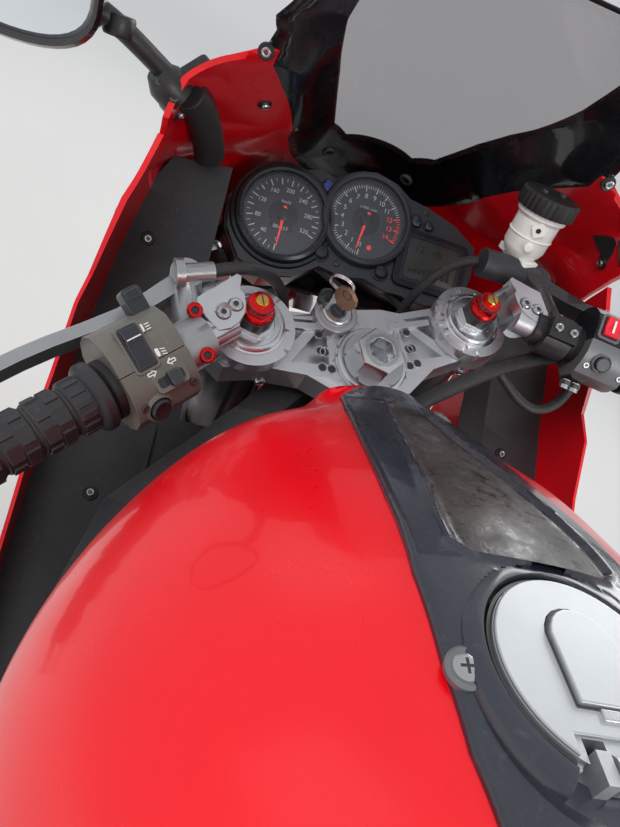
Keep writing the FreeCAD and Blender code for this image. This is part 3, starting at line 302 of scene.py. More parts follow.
RUBBER = surface("grip_rubber", (0.022, 0.022, 0.024), 0.48, mottle=0.2, grain=0.35, grain_size=0.0005,
                 edge=0.4, edge_colour=(0.10, 0.10, 0.11), dust=0.08)
TYRE = surface("tyre_rubber", (0.018, 0.018, 0.019), 0.72, mottle=0.18, grain=0.5, grain_size=0.0009,
               dust=0.3, dust_colour=(0.11, 0.10, 0.09))
HOSE = surface("hose_rubber", (0.018, 0.018, 0.019), 0.5, mottle=0.25, grain=0.3, grain_size=0.0006, dust=0.1)
CAST = surface("cast_alloy", (0.66, 0.67, 0.70), 0.36, metal=0.9, mottle=0.07, rough_spread=0.08, grain=0.16,
               grain_size=0.0005, edge=0.9, edge_colour=(0.86, 0.87, 0.90), edge_size=0.0010)
MILLED = surface("milled_alloy", (0.72, 0.73, 0.75), 0.22, metal=1.0, mottle=0.06, rough_spread=0.1,
                 grain=0.05, edge=0.8, edge_colour=(0.92, 0.92, 0.93), edge_size=0.0008)
LEVER = surface("lever_alloy", (0.40, 0.41, 0.42), 0.36, metal=0.85, mottle=0.10, rough_spread=0.10,
                grain=0.12, grain_size=0.0004, edge=0.6, edge_colour=(0.8, 0.8, 0.8), dust=0.06)
FRAME_ALLOY = surface("frame_alloy", (0.50, 0.51, 0.53), 0.36, metal=0.9, mottle=0.07, grain=0.15,
                      grain_size=0.0007, edge=0.5, edge_colour=(0.8, 0.8, 0.82), dust=0.08)
STEEL = surface("bolt_steel", (0.55, 0.55, 0.56), 0.24, metal=1.0, mottle=0.12, edge=0.7,
                edge_colour=(0.9, 0.9, 0.9))
DISC = surface("disc_steel", (0.42, 0.42, 0.44), 0.30, metal=1.0, mottle=0.14, rough_spread=0.1, grain=0.12)
DARK_STEEL = surface("dark_steel", (0.10, 0.10, 0.10), 0.42, metal=0.8, mottle=0.25, grain=0.2, dust=0.1)
ENGINE = surface("engine_black", (0.030, 0.030, 0.032), 0.50, metal=0.3, mottle=0.2, grain=0.3, edge=0.3,
                 dust=0.15)
HEADER = surface("header_steel", (0.34, 0.27, 0.20), 0.30, metal=1.0, mottle=0.35, mottle_size=0.12,
                 rough_spread=0.14)
CAN = surface("silencer_alloy", (0.62, 0.62, 0.63), 0.28, metal=1.0, mottle=0.06, rough_spread=0.1,
              grain=0.1, stretch=(0.12, 1, 1))
WHEEL = surface("wheel_black", (0.020, 0.020, 0.022), 0.30, metal=0.3, coat=0.6, coat_rough=0.1, mottle=0.1,
                edge=0.3, dust=0.15)
SEAT = surface("seat_cover", (0.018, 0.018, 0.019), 0.52, mottle=0.2, grain=0.9, grain_size=0.0016,
               sheen=0.15)
ANODISED = surface("red_anodised", (0.72, 0.015, 0.022), 0.22, metal=0.9, mottle=0.12, edge=0.6,
                   edge_colour=(0.95, 0.25, 0.2), edge_size=0.0008)
GOLD = surface("gold_screw", (0.80, 0.42, 0.08), 0.26, metal=1.0, mottle=0.1, edge=0.5,
               edge_colour=(1.0, 0.8, 0.4))
RED_BUTTON = surface("red_button", (0.75, 0.01, 0.03), 0.3, mottle=0.08, edge=0.3)
PRINT = surface("white_print", (0.72, 0.72, 0.70), 0.5, mottle=0.05)
# Red of the needles, the red ticks and numerals of the rev scale and a small red dot, with a faint glow of
# their own: painted glow.
RED_PAINTED_GLOW = with_painted_glow("red_painted_glow", (0.85, 0.05, 0.04), 0.25)
DIAL = surface("dial_face", (0.030, 0.034, 0.044), 0.45, mottle=0.12, grain=0.1)
DIAL_MARK = surface("dial_mark", (0.52, 0.54, 0.56), 0.5, mottle=0.06)
RIM_GREY = surface("dial_rim", (0.16, 0.165, 0.17), 0.35, metal=0.4, mottle=0.1, edge=0.4)
LCD = surface("display", (0.040, 0.043, 0.040), 0.22, coat=0.8, mottle=0.2)
LCD_MARK = surface("display_mark", (0.020, 0.021, 0.020), 0.4, mottle=0.1)
BLUE_LAMP = surface("blue_lamp", (0.02, 0.04, 0.30), 0.15, coat=1.0)
DARK_LAMP = surface("dark_lamp", (0.02, 0.03, 0.05), 0.15, coat=1.0)
CUP = surface("reservoir_white", (0.78, 0.77, 0.73), 0.36, mottle=0.05, rough_spread=0.06, orange_peel=0.05)
CUP.node_tree.nodes["Principled BSDF"].inputs["Subsurface Weight"].default_value = 0.35
CUP.node_tree.nodes["Principled BSDF"].inputs["Subsurface Radius"].default_value = (0.004, 0.004, 0.003)
SCREEN_BLACK = surface("screen_border", (0.004, 0.004, 0.006), 0.25, coat=1.0, coat_rough=0.08, mottle=0.2,
                       dust=0.03)
SMOKED = clear("smoked_screen", (0.11, 0.062, 0.072), 0.03, alpha=0.34)
GLASS = clear("clear_lens", (0.80, 0.83, 0.86), 0.02, alpha=0.16)
DIAL_GLASS = clear("dial_glass", (0.5, 0.52, 0.55), 0.03, alpha=0.05)
AMBER = clear("amber_lens", (0.85, 0.25, 0.01), 0.06, alpha=0.8)
LID_ALLOY = surface("lid_alloy", (0.58, 0.60, 0.62), 0.42, metal=0.85, mottle=0.05, rough_spread=0.06,
                    grain=0.05, edge=0.6, edge_colour=(0.9, 0.9, 0.92), edge_size=0.0008)
PAD_BLACK = surface("panel_pad", (0.022, 0.019, 0.018), 0.34, mottle=0.5, mottle_size=0.03, rough_spread=0.2,
                    grain=0.2, scratches=0.5, dust=0.35, dust_colour=(0.16, 0.14, 0.13))
RIM_RED = surface("rim_tape", (0.45, 0.01, 0.015), 0.35, mottle=0.1, edge=0.2)
CALIPER = surface("caliper_paint", (0.11, 0.11, 0.115), 0.4, metal=0.6, mottle=0.12, grain=0.25, edge=0.7,
                  edge_colour=(0.5, 0.5, 0.5), dust=0.2)
FIN_ALLOY = surface("radiator_fins", (0.18, 0.18, 0.185), 0.5, metal=0.8, mottle=0.25, dust=0.2)
STITCH = surface("seat_thread", (0.09, 0.088, 0.085), 0.8, mottle=0.2)
COVER_DARK = surface("frame_cover", (0.045, 0.046, 0.050), 0.46, metal=0.4, mottle=0.15, grain=0.2, edge=0.3,
                     edge_colour=(0.2, 0.2, 0.21), dust=0.12)
TAIL_RED = surface("tail_red", (0.42, 0.006, 0.008), 0.14, coat=1.0, mottle=0.1)
MIRROR_GLASS = surface("mirror_glass", (0.80, 0.84, 0.88), 0.03, metal=1.0, mottle=0.02, rough_spread=0.01)
CHROME = surface("reflector_chrome", (0.85, 0.85, 0.86), 0.08, metal=1.0, mottle=0.04, rough_spread=0.03)
COPPER = surface("key_brass", (0.42, 0.24, 0.15), 0.35, metal=0.9, mottle=0.15, edge=0.5)

NODE_FINISH = (
    (COVER_DARK, "frame brake_lever"),
    (ENGINE, "engine"),
    (BLACK_PLASTIC, "radiator rear_mudguard mirrors nose_stay switch_right"),
    (HEADER, "exhaust_headers"),
    (CAN, "silencer"),
    (PAINT, "fuel_tank tail_cowl upper_fairing side_fairing_left side_fairing_right lower_cowl "
            "front_mudguard"),
    (PANEL_BLACK, "tank_panel"),
    (LID_ALLOY, "filler_ring fuel_lid"),
    (SEAT, "rider_seat pillion_seat"),
    (TAIL_RED, "tail_light"),
    (SCREEN_BLACK, "windscreen"),
    (GLASS, "headlight"),
    (INNER_GREY_PAINTED_SHADE, "inner_panel_left inner_panel_right"),
    (DASH_GREY, "instrument_cluster"),
    (FRAME_ALLOY, "subframe swingarm lower_clamp ignition_lock"),
    (DARK_STEEL, "rear_shock chain rear_caliper fork_left fork_right front_calipers side_stand"),
    (STEEL, "rear_axle front_axle rear_sprocket"),
    (LEVER, "footrests clutch_lever"),
    (CAST, "top_clamp clip_on_left clip_on_right"),
    (HOSE, "clutch_cable brake_hoses wiring_loom"),
    (RUBBER, "grip_left grip_right"),
    (OLIVE, "switch_left"),
    (CUP, "brake_reservoir"),
    (WHEEL, "front_rim rear_rim"),
    (TYRE, "front_tyre rear_tyre"),
    (DISC, "front_discs rear_disc"),
)
for finish, names in NODE_FINISH:
    for name in names.split():
        solid = frame["nodes"][name]
        solid.data.materials.clear()
        solid.data.materials.append(finish)
        solid.modifiers.new("weld", "WELD").merge_threshold = WELD_GAP

# Forms
UNTURNED = Matrix.Identity(4)
TEXT_THICKNESS = 0.1
BEVEL_ANGLE = radians(32.0)


def polar(radius, angle, centre=(0, 0)):
    """A point in a plane, with its angle in degrees."""
    return centre[0] + radius * cos(radians(angle)), centre[1] + radius * sin(radians(angle))


def arc(centre, radius, start, end, steps):
    return [polar(radius, start + (end - start) * i / steps, centre) for i in range(steps + 1)]


def circle(radius, steps, centre=(0, 0)):
    return [polar(radius, 360 * k / steps, centre) for k in range(steps)]


def rounded(low, high, radius, steps=4):
    """The outline of a rectangle with round corners."""
    (x0, y0), (x1, y1) = low, high
    points = []
    for x, y, start in ((x1 - radius, y1 - radius, 0), (x0 + radius, y1 - radius, 90),
                        (x0 + radius, y0 + radius, 180), (x1 - radius, y0 + radius, 270)):
        points += arc((x, y), radius, start, start + 90, steps)
    return points


def level(outline, height):
    """The outline's points at one height."""
    return [Vector((x, y, height)) for x, y in outline]


def smooth_path(points, steps=6):
    """A Catmull-Rom curve through the points."""
    points = [Vector(p) for p in points]
    ends = [points[0] * 2 - points[1]] + points + [points[-1] * 2 - points[-2]]
    curve = []
    for a, b, c, d in zip(ends, ends[1:], ends[2:], ends[3:]):
        for i in range(steps):
            t = i / steps
            curve.append(0.5 * (2 * b + (c - a) * t + (2 * a - 5 * b + 4 * c - d) * t * t
                                + (3 * b - a - 3 * c + d) * t ** 3))
    return curve + [points[-1]]


def shown(name, data):
    """A new object in the scene."""
    made = bpy.data.objects.new(name, data)
    bpy.context.scene.collection.objects.link(made)
    return made


def applied(made):
    """The mesh of an object with its modifiers applied."""
    bpy.context.view_layer.update()
    return bpy.data.meshes.new_from_object(made.evaluated_get(bpy.context.evaluated_depsgraph_get()))


def mesh_data(name, mesh, finishes):
    """Turns a bmesh into mesh data with these finishes."""
    data = bpy.data.meshes.new(name)
    mesh.to_mesh(data)
    mesh.free()
    for finish in finishes:
        data.materials.append(finish)
    return data


def finished(name, data, body="chassis", bevel=0.0, segments=2, angle=35.0, replaces=()):
    """A piece on its body, smooth up to an angle in degrees, with its edges rounded by bevel."""
    made = shown(name, data)
    data.shade_smooth()
    data.set_sharp_from_angle(angle=radians(angle))
    if bevel > 0.0:
        modifier = made.modifiers.new("rounded", "BEVEL")
        modifier.width = bevel * MM
        modifier.segments = segments
        modifier.limit_method = "ANGLE"
        modifier.angle_limit = BEVEL_ANGLE
        modifier.harden_normals = True
        modifier.use_clamp_overlap = True
    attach(made, body)
    if replaces:
        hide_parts(*replaces)
    return made


class Build:
    """A piece drawn in millimetres in one of the bike's spaces, with a finish for each form."""

    def __init__(self, name, space, body):
        self.name = name
        self.space = space
        self.body = body
        self.mesh = bmesh.new()
        self.finishes = []

    def slot(self, finish):
        if finish not in self.finishes:
            self.finishes.append(finish)
        return self.finishes.index(finish)

    def skin(self, rings, finish, capped=True, closed=False):
        """Joins rings of points, each with the same count, into a solid."""
        index = self.slot(finish)
        rows = [[self.mesh.verts.new(point) for point in ring] for ring in rings]
        faces = []
        count = len(rows[0])
        for row, after in zip(rows, rows[1:] + (rows[:1] if closed else [])):
            for i in range(count):
                j = (i + 1) % count
                faces.append(self.mesh.faces.new((row[i], row[j], after[j], after[i])))
        if capped and not closed:
            faces.append(self.mesh.faces.new(list(reversed(rows[0]))))
            faces.append(self.mesh.faces.new(rows[-1]))
        for face in faces:
            face.material_index = index

    def prism(self, outline, low, high, finish, place=UNTURNED):
        self.skin([[place @ point for point in level(outline, z)] for z in (low, high)], finish)

    def box(self, low, high, finish, place=UNTURNED):
        x0, y0, z0 = low
        x1, y1, z1 = high
        self.prism([(x0, y0), (x1, y0), (x1, y1), (x0, y1)], z0, z1, finish, place)

    def lathe(self, profile, finish, place=UNTURNED, steps=40, closed=False, wave=None):
        """Turns (radius, height) points about +Z. wave gives a factor on the radius at an angle."""
        rings = []
        for radius, height in profile:
            turns = [360 * i / steps for i in range(steps)]
            outline = [polar(radius * (wave(turn) if wave else 1.0), turn) for turn in turns]
            rings.append([place @ point for point in level(outline, height)])
        self.skin(rings, finish, closed=closed)

    def hexagon(self, radius, low, high, finish, place=UNTURNED):
        self.prism(circle(radius, 6), low, high, finish, place)

    def rod(self, start, end, radius, finish, steps=20):
        start, end = Vector(start), Vector(end)
        self.lathe([(radius, 0), (radius, (end - start).length)], finish, placed(start, end - start), steps)

    def hoop(self, radius, thick, finish, place):
        """A round ring of round wire."""
        self.lathe([polar(thick, 45 * k, (radius, 0)) for k in range(8)], finish, place, 32, closed=True)

    def tube(self, points, radius, finish, steps=10, curve_steps=6):
        """A round cord along a smooth curve through the points."""
        line = smooth_path(points, curve_steps)
        rings = []
        side = None
        for i, point in enumerate(line):
            way = (line[min(i + 1, len(line) - 1)] - line[max(i - 1, 0)]).normalized()
            if side is None:
                side = way.orthogonal().normalized()
            side = (side - way * side.dot(way)).normalized()
            other = way.cross(side)
            rings.append([point + side * u + other * v for u, v in circle(radius, steps)])
        self.skin(rings, finish)

    def bolt(self, place, radius, finish, height=None, socket=DARK_STEEL):
        """A round head with a hexagon socket."""
        tall = height or radius * 0.8
        self.lathe([(radius, 0), (radius, tall * 0.65), (radius * 0.82, tall), (radius * 0.56, tall),
                    (radius * 0.50, tall * 0.86)], finish, place, 24)
        self.hexagon(radius * 0.48, tall * 0.5, tall * 0.9, socket, place)

    def print_text(self, words, size, finish, place):
        curve = bpy.data.curves.new("words", "FONT")
        curve.body = words
        curve.size = size
        curve.align_x = "CENTER"
        curve.align_y = "CENTER"
        curve.extrude = TEXT_THICKNESS
        made = shown("words", curve)
        mesh = applied(made)
        mesh.transform(place)
        before = len(self.mesh.faces)
        self.mesh.from_mesh(mesh)
        self.mesh.faces.ensure_lookup_table()
        index = self.slot(finish)
        for face in self.mesh.faces[before:]:
            face.material_index = index
        bpy.data.objects.remove(made)
        bpy.data.curves.remove(curve)
        bpy.data.meshes.remove(mesh)

    def done(self, bevel=0.0, segments=2, angle=35.0, replaces=()):
        bmesh.ops.transform(self.mesh, matrix=self.space, verts=self.mesh.verts)
        bmesh.ops.recalc_face_normals(self.mesh, faces=self.mesh.faces)
        data = mesh_data(self.name, self.mesh, self.finishes)
        finished(self.name, data, self.body, bevel, segments, angle, replaces)


def cad_mesh(name):
    """A CAD node's surface as one welded bmesh."""
    mesh = bmesh.new()
    mesh.from_mesh(frame["nodes"][name].data)
    bmesh.ops.remove_doubles(mesh, verts=mesh.verts, dist=WELD_GAP)
    return mesh


def sliced(mesh, point, way, clear_outer=False):
    """Cuts the mesh by a plane through a point of the bike."""
    bmesh.ops.bisect_plane(mesh, geom=mesh.verts[:] + mesh.edges[:] + mesh.faces[:], dist=1e-6,
                           plane_co=BIKE @ Vector(point), plane_no=way, clear_outer=clear_outer)


def tree_from(data):
    """A search tree of mesh data."""
    mesh = bmesh.new()
    mesh.from_mesh(data)
    tree = BVHTree.FromBMesh(mesh)
    mesh.free()
    return tree


TREES = {}


def tree_of(name):
    """A search tree of a CAD node's surface."""
    if name not in TREES:
        TREES[name] = tree_from(frame["nodes"][name].data)
    return TREES[name]


def on_surface(name, point, towards):
    """The nearest place on a CAD node, with +Z along its normal on the side of towards."""
    spot, normal, _, _ = tree_of(name).find_nearest(BIKE @ Vector(point))
    spot = BIKE_BACK @ spot
    normal = way_back(normal)
    if normal.dot(Vector(towards) - spot) < 0:
        normal.negate()
    return placed(spot, normal)


def table_value(table, x):
    """A straight line through (x, value) points, or None outside them."""
    for (x0, v0), (x1, v1) in zip(table, table[1:]):
        if x0 <= x <= x1:
            return v0 + (v1 - v0) * (x - x0) / (x1 - x0)
    return None


# Cockpit: switches, grips and controls
BAR_START = Vector((22, 120, 40))
BAR_WAY = Vector((-0.49, 0.87, 0.06)).normalized()
FACE_WAY = Vector((-0.266, -0.215, 0.94)).normalized()
BAR_BACK = FACE_WAY.cross(BAR_WAY)
ALONG_BAR = Matrix.Translation(BAR_START) @ turned(BAR_WAY, BAR_BACK, FACE_WAY)
OTHER_SIDE = Matrix.Scale(-1, 4, (0, 1, 0))
LEFT_BAR = BARS @ ALONG_BAR
RIGHT_BAR = BARS @ OTHER_SIDE @ ALONG_BAR
# draws a section (back, up) and extrudes it along the bar
SECTION = turned((0, 1, 0), (0, 0, 1), (1, 0, 0))
HOUSING_IN = 60.0
HOUSING_OUT = 110.0
GRIP_BANDS = 5
BAND_PITCH = 23.5
BAND_PADS = 7
COLLAR_RIBS = 14


def arrow(b, centre, size, side, height):
    x, y = centre
    outer = [(x + side * size * p, y + size * q) for p, q in (
        (-1, 0), (0, -0.85), (0, -0.4), (1, -0.4), (1, 0.4), (0, 0.4), (0, 0.85))]
    inner = [(x + side * size * p, y + size * q) for p, q in (
        (-0.66, 0), (-0.18, -0.42), (-0.18, -0.2), (0.8, -0.2), (0.8, 0.2), (-0.18, 0.2), (-0.18, 0.42))]
    b.prism(outer, height - 0.6, height, PRINT)
    b.prism(inner, height - 0.5, height + 0.06, OLIVE)


def lamp_sign(b, centre, height, dipped):
    x, y = centre
    b.prism([(x, y - 2.4), (x, y + 2.4)] + arc((x, y), 3.4, 60, -60, 6), height - 0.6, height, PRINT)
    drop = 1.2 if dipped else 0.0
    for k in (-1.8, 0, 1.8):
        beam = [(x - 1.2, y + k), (x - 4.6, y + k + drop), (x - 4.6, y + k + drop + 0.7),
                (x - 1.2, y + k + 0.7)]
        b.prism(beam, height - 0.6, height, PRINT)


def make_left_switch():
    b = Build("left_switch", LEFT_BAR, "steering")
    front_half = [(-2.3, 25), (-14, 25), (-26, 21.5), (-34, 13), (-37, 2), (-35, -8), (-27, -18), (-14, -25),
                  (-2.3, -26)]
    back_half = [(-1.7, 25), (-1.7, -26), (10, -25), (22, -18), (30, -8), (32, 2), (29, 13), (20, 21),
                 (10, 24.6)]
    for half in (front_half, back_half):
        b.prism(half, HOUSING_IN, HOUSING_OUT, OLIVE, SECTION)
    b.lathe([(21, HOUSING_OUT - 2), (21, HOUSING_OUT + 5), (19.5, HOUSING_OUT + 6.5)], BLACK_PLASTIC, SECTION)
    b.lathe([(14, HOUSING_IN - 3), (16.5, HOUSING_IN - 3), (16.5, HOUSING_IN + 2)], BLACK_PLASTIC, SECTION)
    # raised bezel and rocker of the headlight switch
    b.prism(rounded((81.5, -31), (99.5, 2), 3), 22, 26.2, OLIVE)
    b.prism(rounded((83, -29.5), (98, 0.5), 2), 23, 26.5, BUTTON)
    b.prism([(-28, 24), (-28, 28.5), (-22, 30.5), (-15, 28), (-8, 29), (-1, 27.5), (-1, 24)], 84.5, 96.5,
            BUTTON, SECTION)
    b.box((85.5, -21, 29.6), (95.5, -20.2, 30.8), PRINT)
    # indicator slider
    b.prism(rounded((68, 6), (92, 19), 3), 19, 24.9, OLIVE)
    b.prism(rounded((70, 9), (90, 16), 2), 20, 25.2, BUTTON)
    b.prism(rounded((74, 7.5), (83, 17.5), 1.6), 22, 29.5, BUTTON)
    for k in range(4):
        b.box((75.2 + 1.9 * k, 8.4, 29.0), (76.1 + 1.9 * k, 16.6, 30.3), BUTTON)
    arrow(b, (74.5, 2.8), 3.4, -1, 25.2)
    arrow(b, (90.0, 4.2), 3.4, 1, 25.2)
    lamp_sign(b, (79.5, -24), 25.0, False)
    lamp_sign(b, (78.5, -6), 25.3, True)
    # horn button, on the rear face
    horn = placed((94, 25, 15), (0, 0.62, 0.78))
    b.lathe([(10.5, -4), (10.5, 2), (9, 3.4), (8.4, 3.4), (8.2, 1.2)], OLIVE, horn, 32)
    b.lathe([(7.6, 0), (7.6, 4.6), (6.6, 6.0), (2.5, 5.2)], BUTTON, horn, 32)
    # passing lever, on the front face
    b.prism(rounded((63, -52), (77, -33), 3), 3, 13, BUTTON)
    b.box((65, -50, 12.4), (75, -44, 14.4), BUTTON)
    for s in (66, 104):
        b.bolt(placed((s, 21, 19.5), (0, 0.5, 0.87)), 2.9, DARK_STEEL)
    b.done(bevel=1.1, segments=3, replaces=["switch_left"])


def make_right_switch():
    b = Build("right_switch", RIGHT_BAR, "steering")
    front_half = [(-2.3, 28), (-14, 29), (-26, 25), (-34, 15), (-37, 2), (-35, -8), (-27, -18), (-14, -24),
                  (-2.3, -24)]
    back_half = [(-1.7, 28), (-1.7, -24), (10, -23), (20, -17), (27, -8), (28, 2), (26, 13), (18, 21),
                 (10, 26)]
    for half, finish in ((front_half, DASH_BLACK), (back_half, RIM_GREY)):
        b.prism(half, HOUSING_IN + 8, HOUSING_OUT, finish, SECTION)
    b.lathe([(21, HOUSING_OUT - 2), (21, HOUSING_OUT + 5), (19.5, HOUSING_OUT + 6.5)], BLACK_PLASTIC, SECTION)
    b.prism(rounded((69.5, -25), (89.5, -3), 3), 24, 30.4, RIM_GREY)
    b.prism(rounded((71.5, -23), (87.5, -5), 2), 26, 31, DASH_BLACK)
    b.prism([(-22, 29), (-22, 35), (-14, 32.4), (-6, 34.6), (-6, 29)], 73, 86, RED_BUTTON, SECTION)
    b.box((78.5, -20, 34.2), (80.5, -9, 34.7), PRINT)
    b.box((92, -22, 25), (104, -8, 31.5), BUTTON)
    start = placed((84, 15, 23), (0, 0.4, 0.9))
    b.lathe([(8.5, -4), (8.5, 2), (7.4, 2.8), (7.2, 1)], RIM_GREY, start, 28)
    b.lathe([(6.4, 0), (6.4, 4.4), (5.4, 5.4)], BUTTON, start, 28)
    # twist-grip cable guide and its two clamps
    b.prism(rounded((70, 12), (86, 30), 4), -14, 6, DARK_STEEL)
    for s in (73, 82):
        b.rod((s, 30, -4), (s, 38, -6), 4.2, STEEL)
        b.hexagon(5.4, -2, 2, DARK_STEEL, placed((s, 33, -4.6), (0, 1, -0.2)))
    for s in (74, 106):
        b.bolt(placed((s, 19, 18), (0, 0.5, 0.87)), 2.9, STEEL)
    b.done(bevel=1.1, segments=3, replaces=["switch_right"])


def make_grip(name, space, node_name):
    b = Build(name, space, "steering")
    profile = [(12, 118), (22.5, 118), (24, 119.5), (24, 124.5), (22, 127), (18.2, 128.5), (18.2, 140.5),
               (16.2, 142)]
    for k in range(GRIP_BANDS):
        start = 143.5 + BAND_PITCH * k
        profile += [(16.2, start), (17.4, start + 1), (17.4, start + 21), (16.2, start + 22)]
    b.lathe(profile + [(18.6, 259), (19.4, 260.5), (18.8, 263), (12, 263.5)], RUBBER, SECTION, 48)
    for k in range(COLLAR_RIBS):
        b.box((129.5, -2.2, 17), (140, 2.2, 19.3), RUBBER, spun(360 * k / COLLAR_RIBS, "X"))
    for k in range(GRIP_BANDS):
        for row in range(2):
            for i in range(BAND_PADS):
                start = 145.2 + BAND_PITCH * k + 9.6 * row
                turn = spun(360 * (i + 0.5 * row) / BAND_PADS, "X")
                b.box((start, -5.6, 16.2), (start + 8.4, 5.6, 18.1), RUBBER, turn)
    b.lathe([(12, 263.5), (15.5, 265), (15.5, 286), (13, 290), (6, 291), (5.4, 288)], DARK_STEEL, SECTION, 32)
    b.done(bevel=0.5, replaces=[node_name])


def make_reservoir():
    b = Build("brake_cup", BARS, "steering")
    low = Vector((84, -150, 52))
    way = (Vector((107, -158, 99)) - low).normalized()
    cup = placed(low, way)
    b.lathe([(9, -6), (14, -5), (17.5, 0), (19.2, 4), (19.8, 30), (22.4, 33), (22.4, 37)], CUP, cup, 48)
    b.lathe([(21, 36), (25.2, 37.5), (25.8, 39), (25.8, 50), (24.4, 52), (16, 53), (15, 52.2), (4, 52.2)],
            BLACK_PLASTIC, cup, 120, wave=lambda turn: 1.0 + 0.018 * cos(radians(30 * turn)))
    for k in range(2):
        b.bolt(cup @ at(0, 11 - 22 * k, 52), 3.0, DARK_STEEL)
    window = cup @ placed((-13.5, 9, 25), (-0.82, 0.57, 0))
    b.prism(rounded((-5.5, -5), (5.5, 5), 1.5), 0, 5.6, CUP, window)
    b.lathe([(2.2, 4), (2.2, 5.9)], BUTTON, window, 20)
    b.lathe([(20.2, 14.4), (20.4, 15), (20.2, 15.6)], CUP, cup, 48)
    b.lathe([(4, 2), (4, 5.5), (3, 6.2)], CUP, cup @ placed((-14.5, 10, 9), (-0.82, 0.57, 0)), 24)
    b.prism(rounded((-21, -9), (21, 9), 4), -9, -4, CUP, cup)
    b.tube([low - way * 4, low - way * 14, (74, -149, 42), (70, -143, 36)], 6.2, HOSE, 14)
    for k in (10, 15):
        b.hoop(6.6, 0.9, STEEL, placed(low - way * k, way))
    b.box((-8, -6, 3), (6, 6, 6), LEVER, placed((78, -140, 46), (0.3, 0.4, 1)))
    b.done(bevel=0.6, segments=2, replaces=["brake_reservoir"])


WING_LOW = 41
WING_TOP = 53
WING_SHIFT = 8
WING = [(33, 152), (37, 146), (42, 137), (53, 120), (51, 117), (46, 118), (40, 120), (36, 117), (28, 117),
        (20, 119), (13, 124), (8, 131), (6, 140), (17, 148), (27, 153)]


def make_perch_cover():
    b = Build("right_perch_cover", RIGHT_BAR, "steering")
    b.lathe([(11.5, 24), (14, 25), (14, 33), (18, 34), (18, 58), (16, 60), (16, 71), (11.5, 72)],
            BLACK_PLASTIC, placed((0, 0, 0), (1, 0, 0)), closed=True)
    b.box((33, -9, 8), (59, 9, 22), BLACK_PLASTIC)
    for s in (39, 53):
        b.bolt(at(s, 0, 21.6), 4, STEEL)
    b.done(bevel=0.8)


def make_steering_head():
    b = Build("steering_head", BARS, "steering")
    # red collars at the clutch perch
    for point in ((21, 156, 55), (-12, 151, 51)):
        collar = placed(point, (-0.5, 0.1, 0.86))
        b.lathe([(2.6, -9), (5.2, -9), (5.6, -8), (5.6, 6), (4.6, 7.2), (2.8, 7.2), (2.6, 5)], ANODISED,
                collar, 32, closed=True)
        b.lathe([(2.5, 0), (2.5, 5)], BUTTON, collar, 20)
    for side in SIDES:
        # fork cap with its adjusters
        cap = at(32, side * 103)
        b.lathe([(27.5, 11), (27.5, 14.2), (25.6, 15), (25.6, 18.2), (24.4, 19.2), (22.4, 19.2), (22, 18.6),
                 (17.5, 18.6), (17, 19.2), (14.5, 19.2)], MILLED, cap, 48)
        b.hexagon(16.4, 19, 24.6, MILLED, cap)
        b.lathe([(12.8, 24.6), (12.8, 37), (11.6, 38.4), (10, 38.8)], ANODISED, cap, 36)
        b.hexagon(11.6, 38, 44, ANODISED, cap)
        b.lathe([(9.6, 44), (9.6, 46.6), (8.2, 47.4), (6, 47.4)], ANODISED, cap, 32)
        b.lathe([(5.4, 46.6), (5.4, 50), (4.4, 51)], GOLD, cap, 24)
        b.box((-5, -0.7, 50.6), (5, 0.7, 51.2), DARK_STEEL, cap)
        b.lathe([(34.5, -1), (34.5, 3.6), (33, 5), (30.4, 5), (28.2, 3.4), (28.2, -1)], CAST, cap, 56,
                closed=True)
        # clamp wing that reaches ahead of the fork cap, with its two bolts
        out = 0 if side > 0 else WING_SHIFT
        b.prism([(u, side * (y + out)) for u, y in WING], WING_LOW, WING_TOP, CAST)
        for u, y in ((20, 135), (26.5, 125)):
            spot = at(u, side * (y + out), WING_TOP - 0.2)
            b.lathe([(5.9, 0), (5.9, 0.5), (5.4, 0.7)], BUTTON, spot, 24)
            b.bolt(spot, 5.2, STEEL, 2.6, BUTTON)
        # small threaded holes of the top clamp
        for u, y in ((12, 40), (29, 42), (13, 43.5), (-2, 45), (-4, 37)):
            spot = at(u, side * y)
            b.lathe([(4.6, -0.5), (4.6, 0.6), (3.8, 0.6), (3.4, -0.4)], MILLED, spot, 20, closed=True)
            b.lathe([(3.5, -2), (3.5, 0.2)], BUTTON, spot, 20)
        b.bolt(placed((-4, side * 96, -14), (-1, 0, 0)), 5, STEEL)
        # rib from the stem to the fork
        b.prism([(30, side * 26), (36, side * 26), (40, side * 66), (34, side * 66)], -1, 3.4, CAST)
    # stem nut with its hexagon hole
    b.lathe([(31.6, 2.4), (31.6, 4.6), (30.6, 5.4), (28, 5.4), (27.2, 4.6), (12.4, 4.6)], MILLED, steps=48)
    nut, top, hole = circle(21.6, 6), circle(21.6 * 0.94, 6), circle(12.0, 6)
    rings = [level(*ring) for ring in ((nut, 4.6), (nut, 23.2), (top, 24.6), (hole, 24.6), (hole, 12))]
    b.skin(rings, MILLED, capped=False)
    b.lathe([(11.6, 24.9), (15.5, 24.9), (15.5, 24.3), (11.6, 24.3)], STEEL, closed=True)
    b.done(bevel=0.9, segments=3)


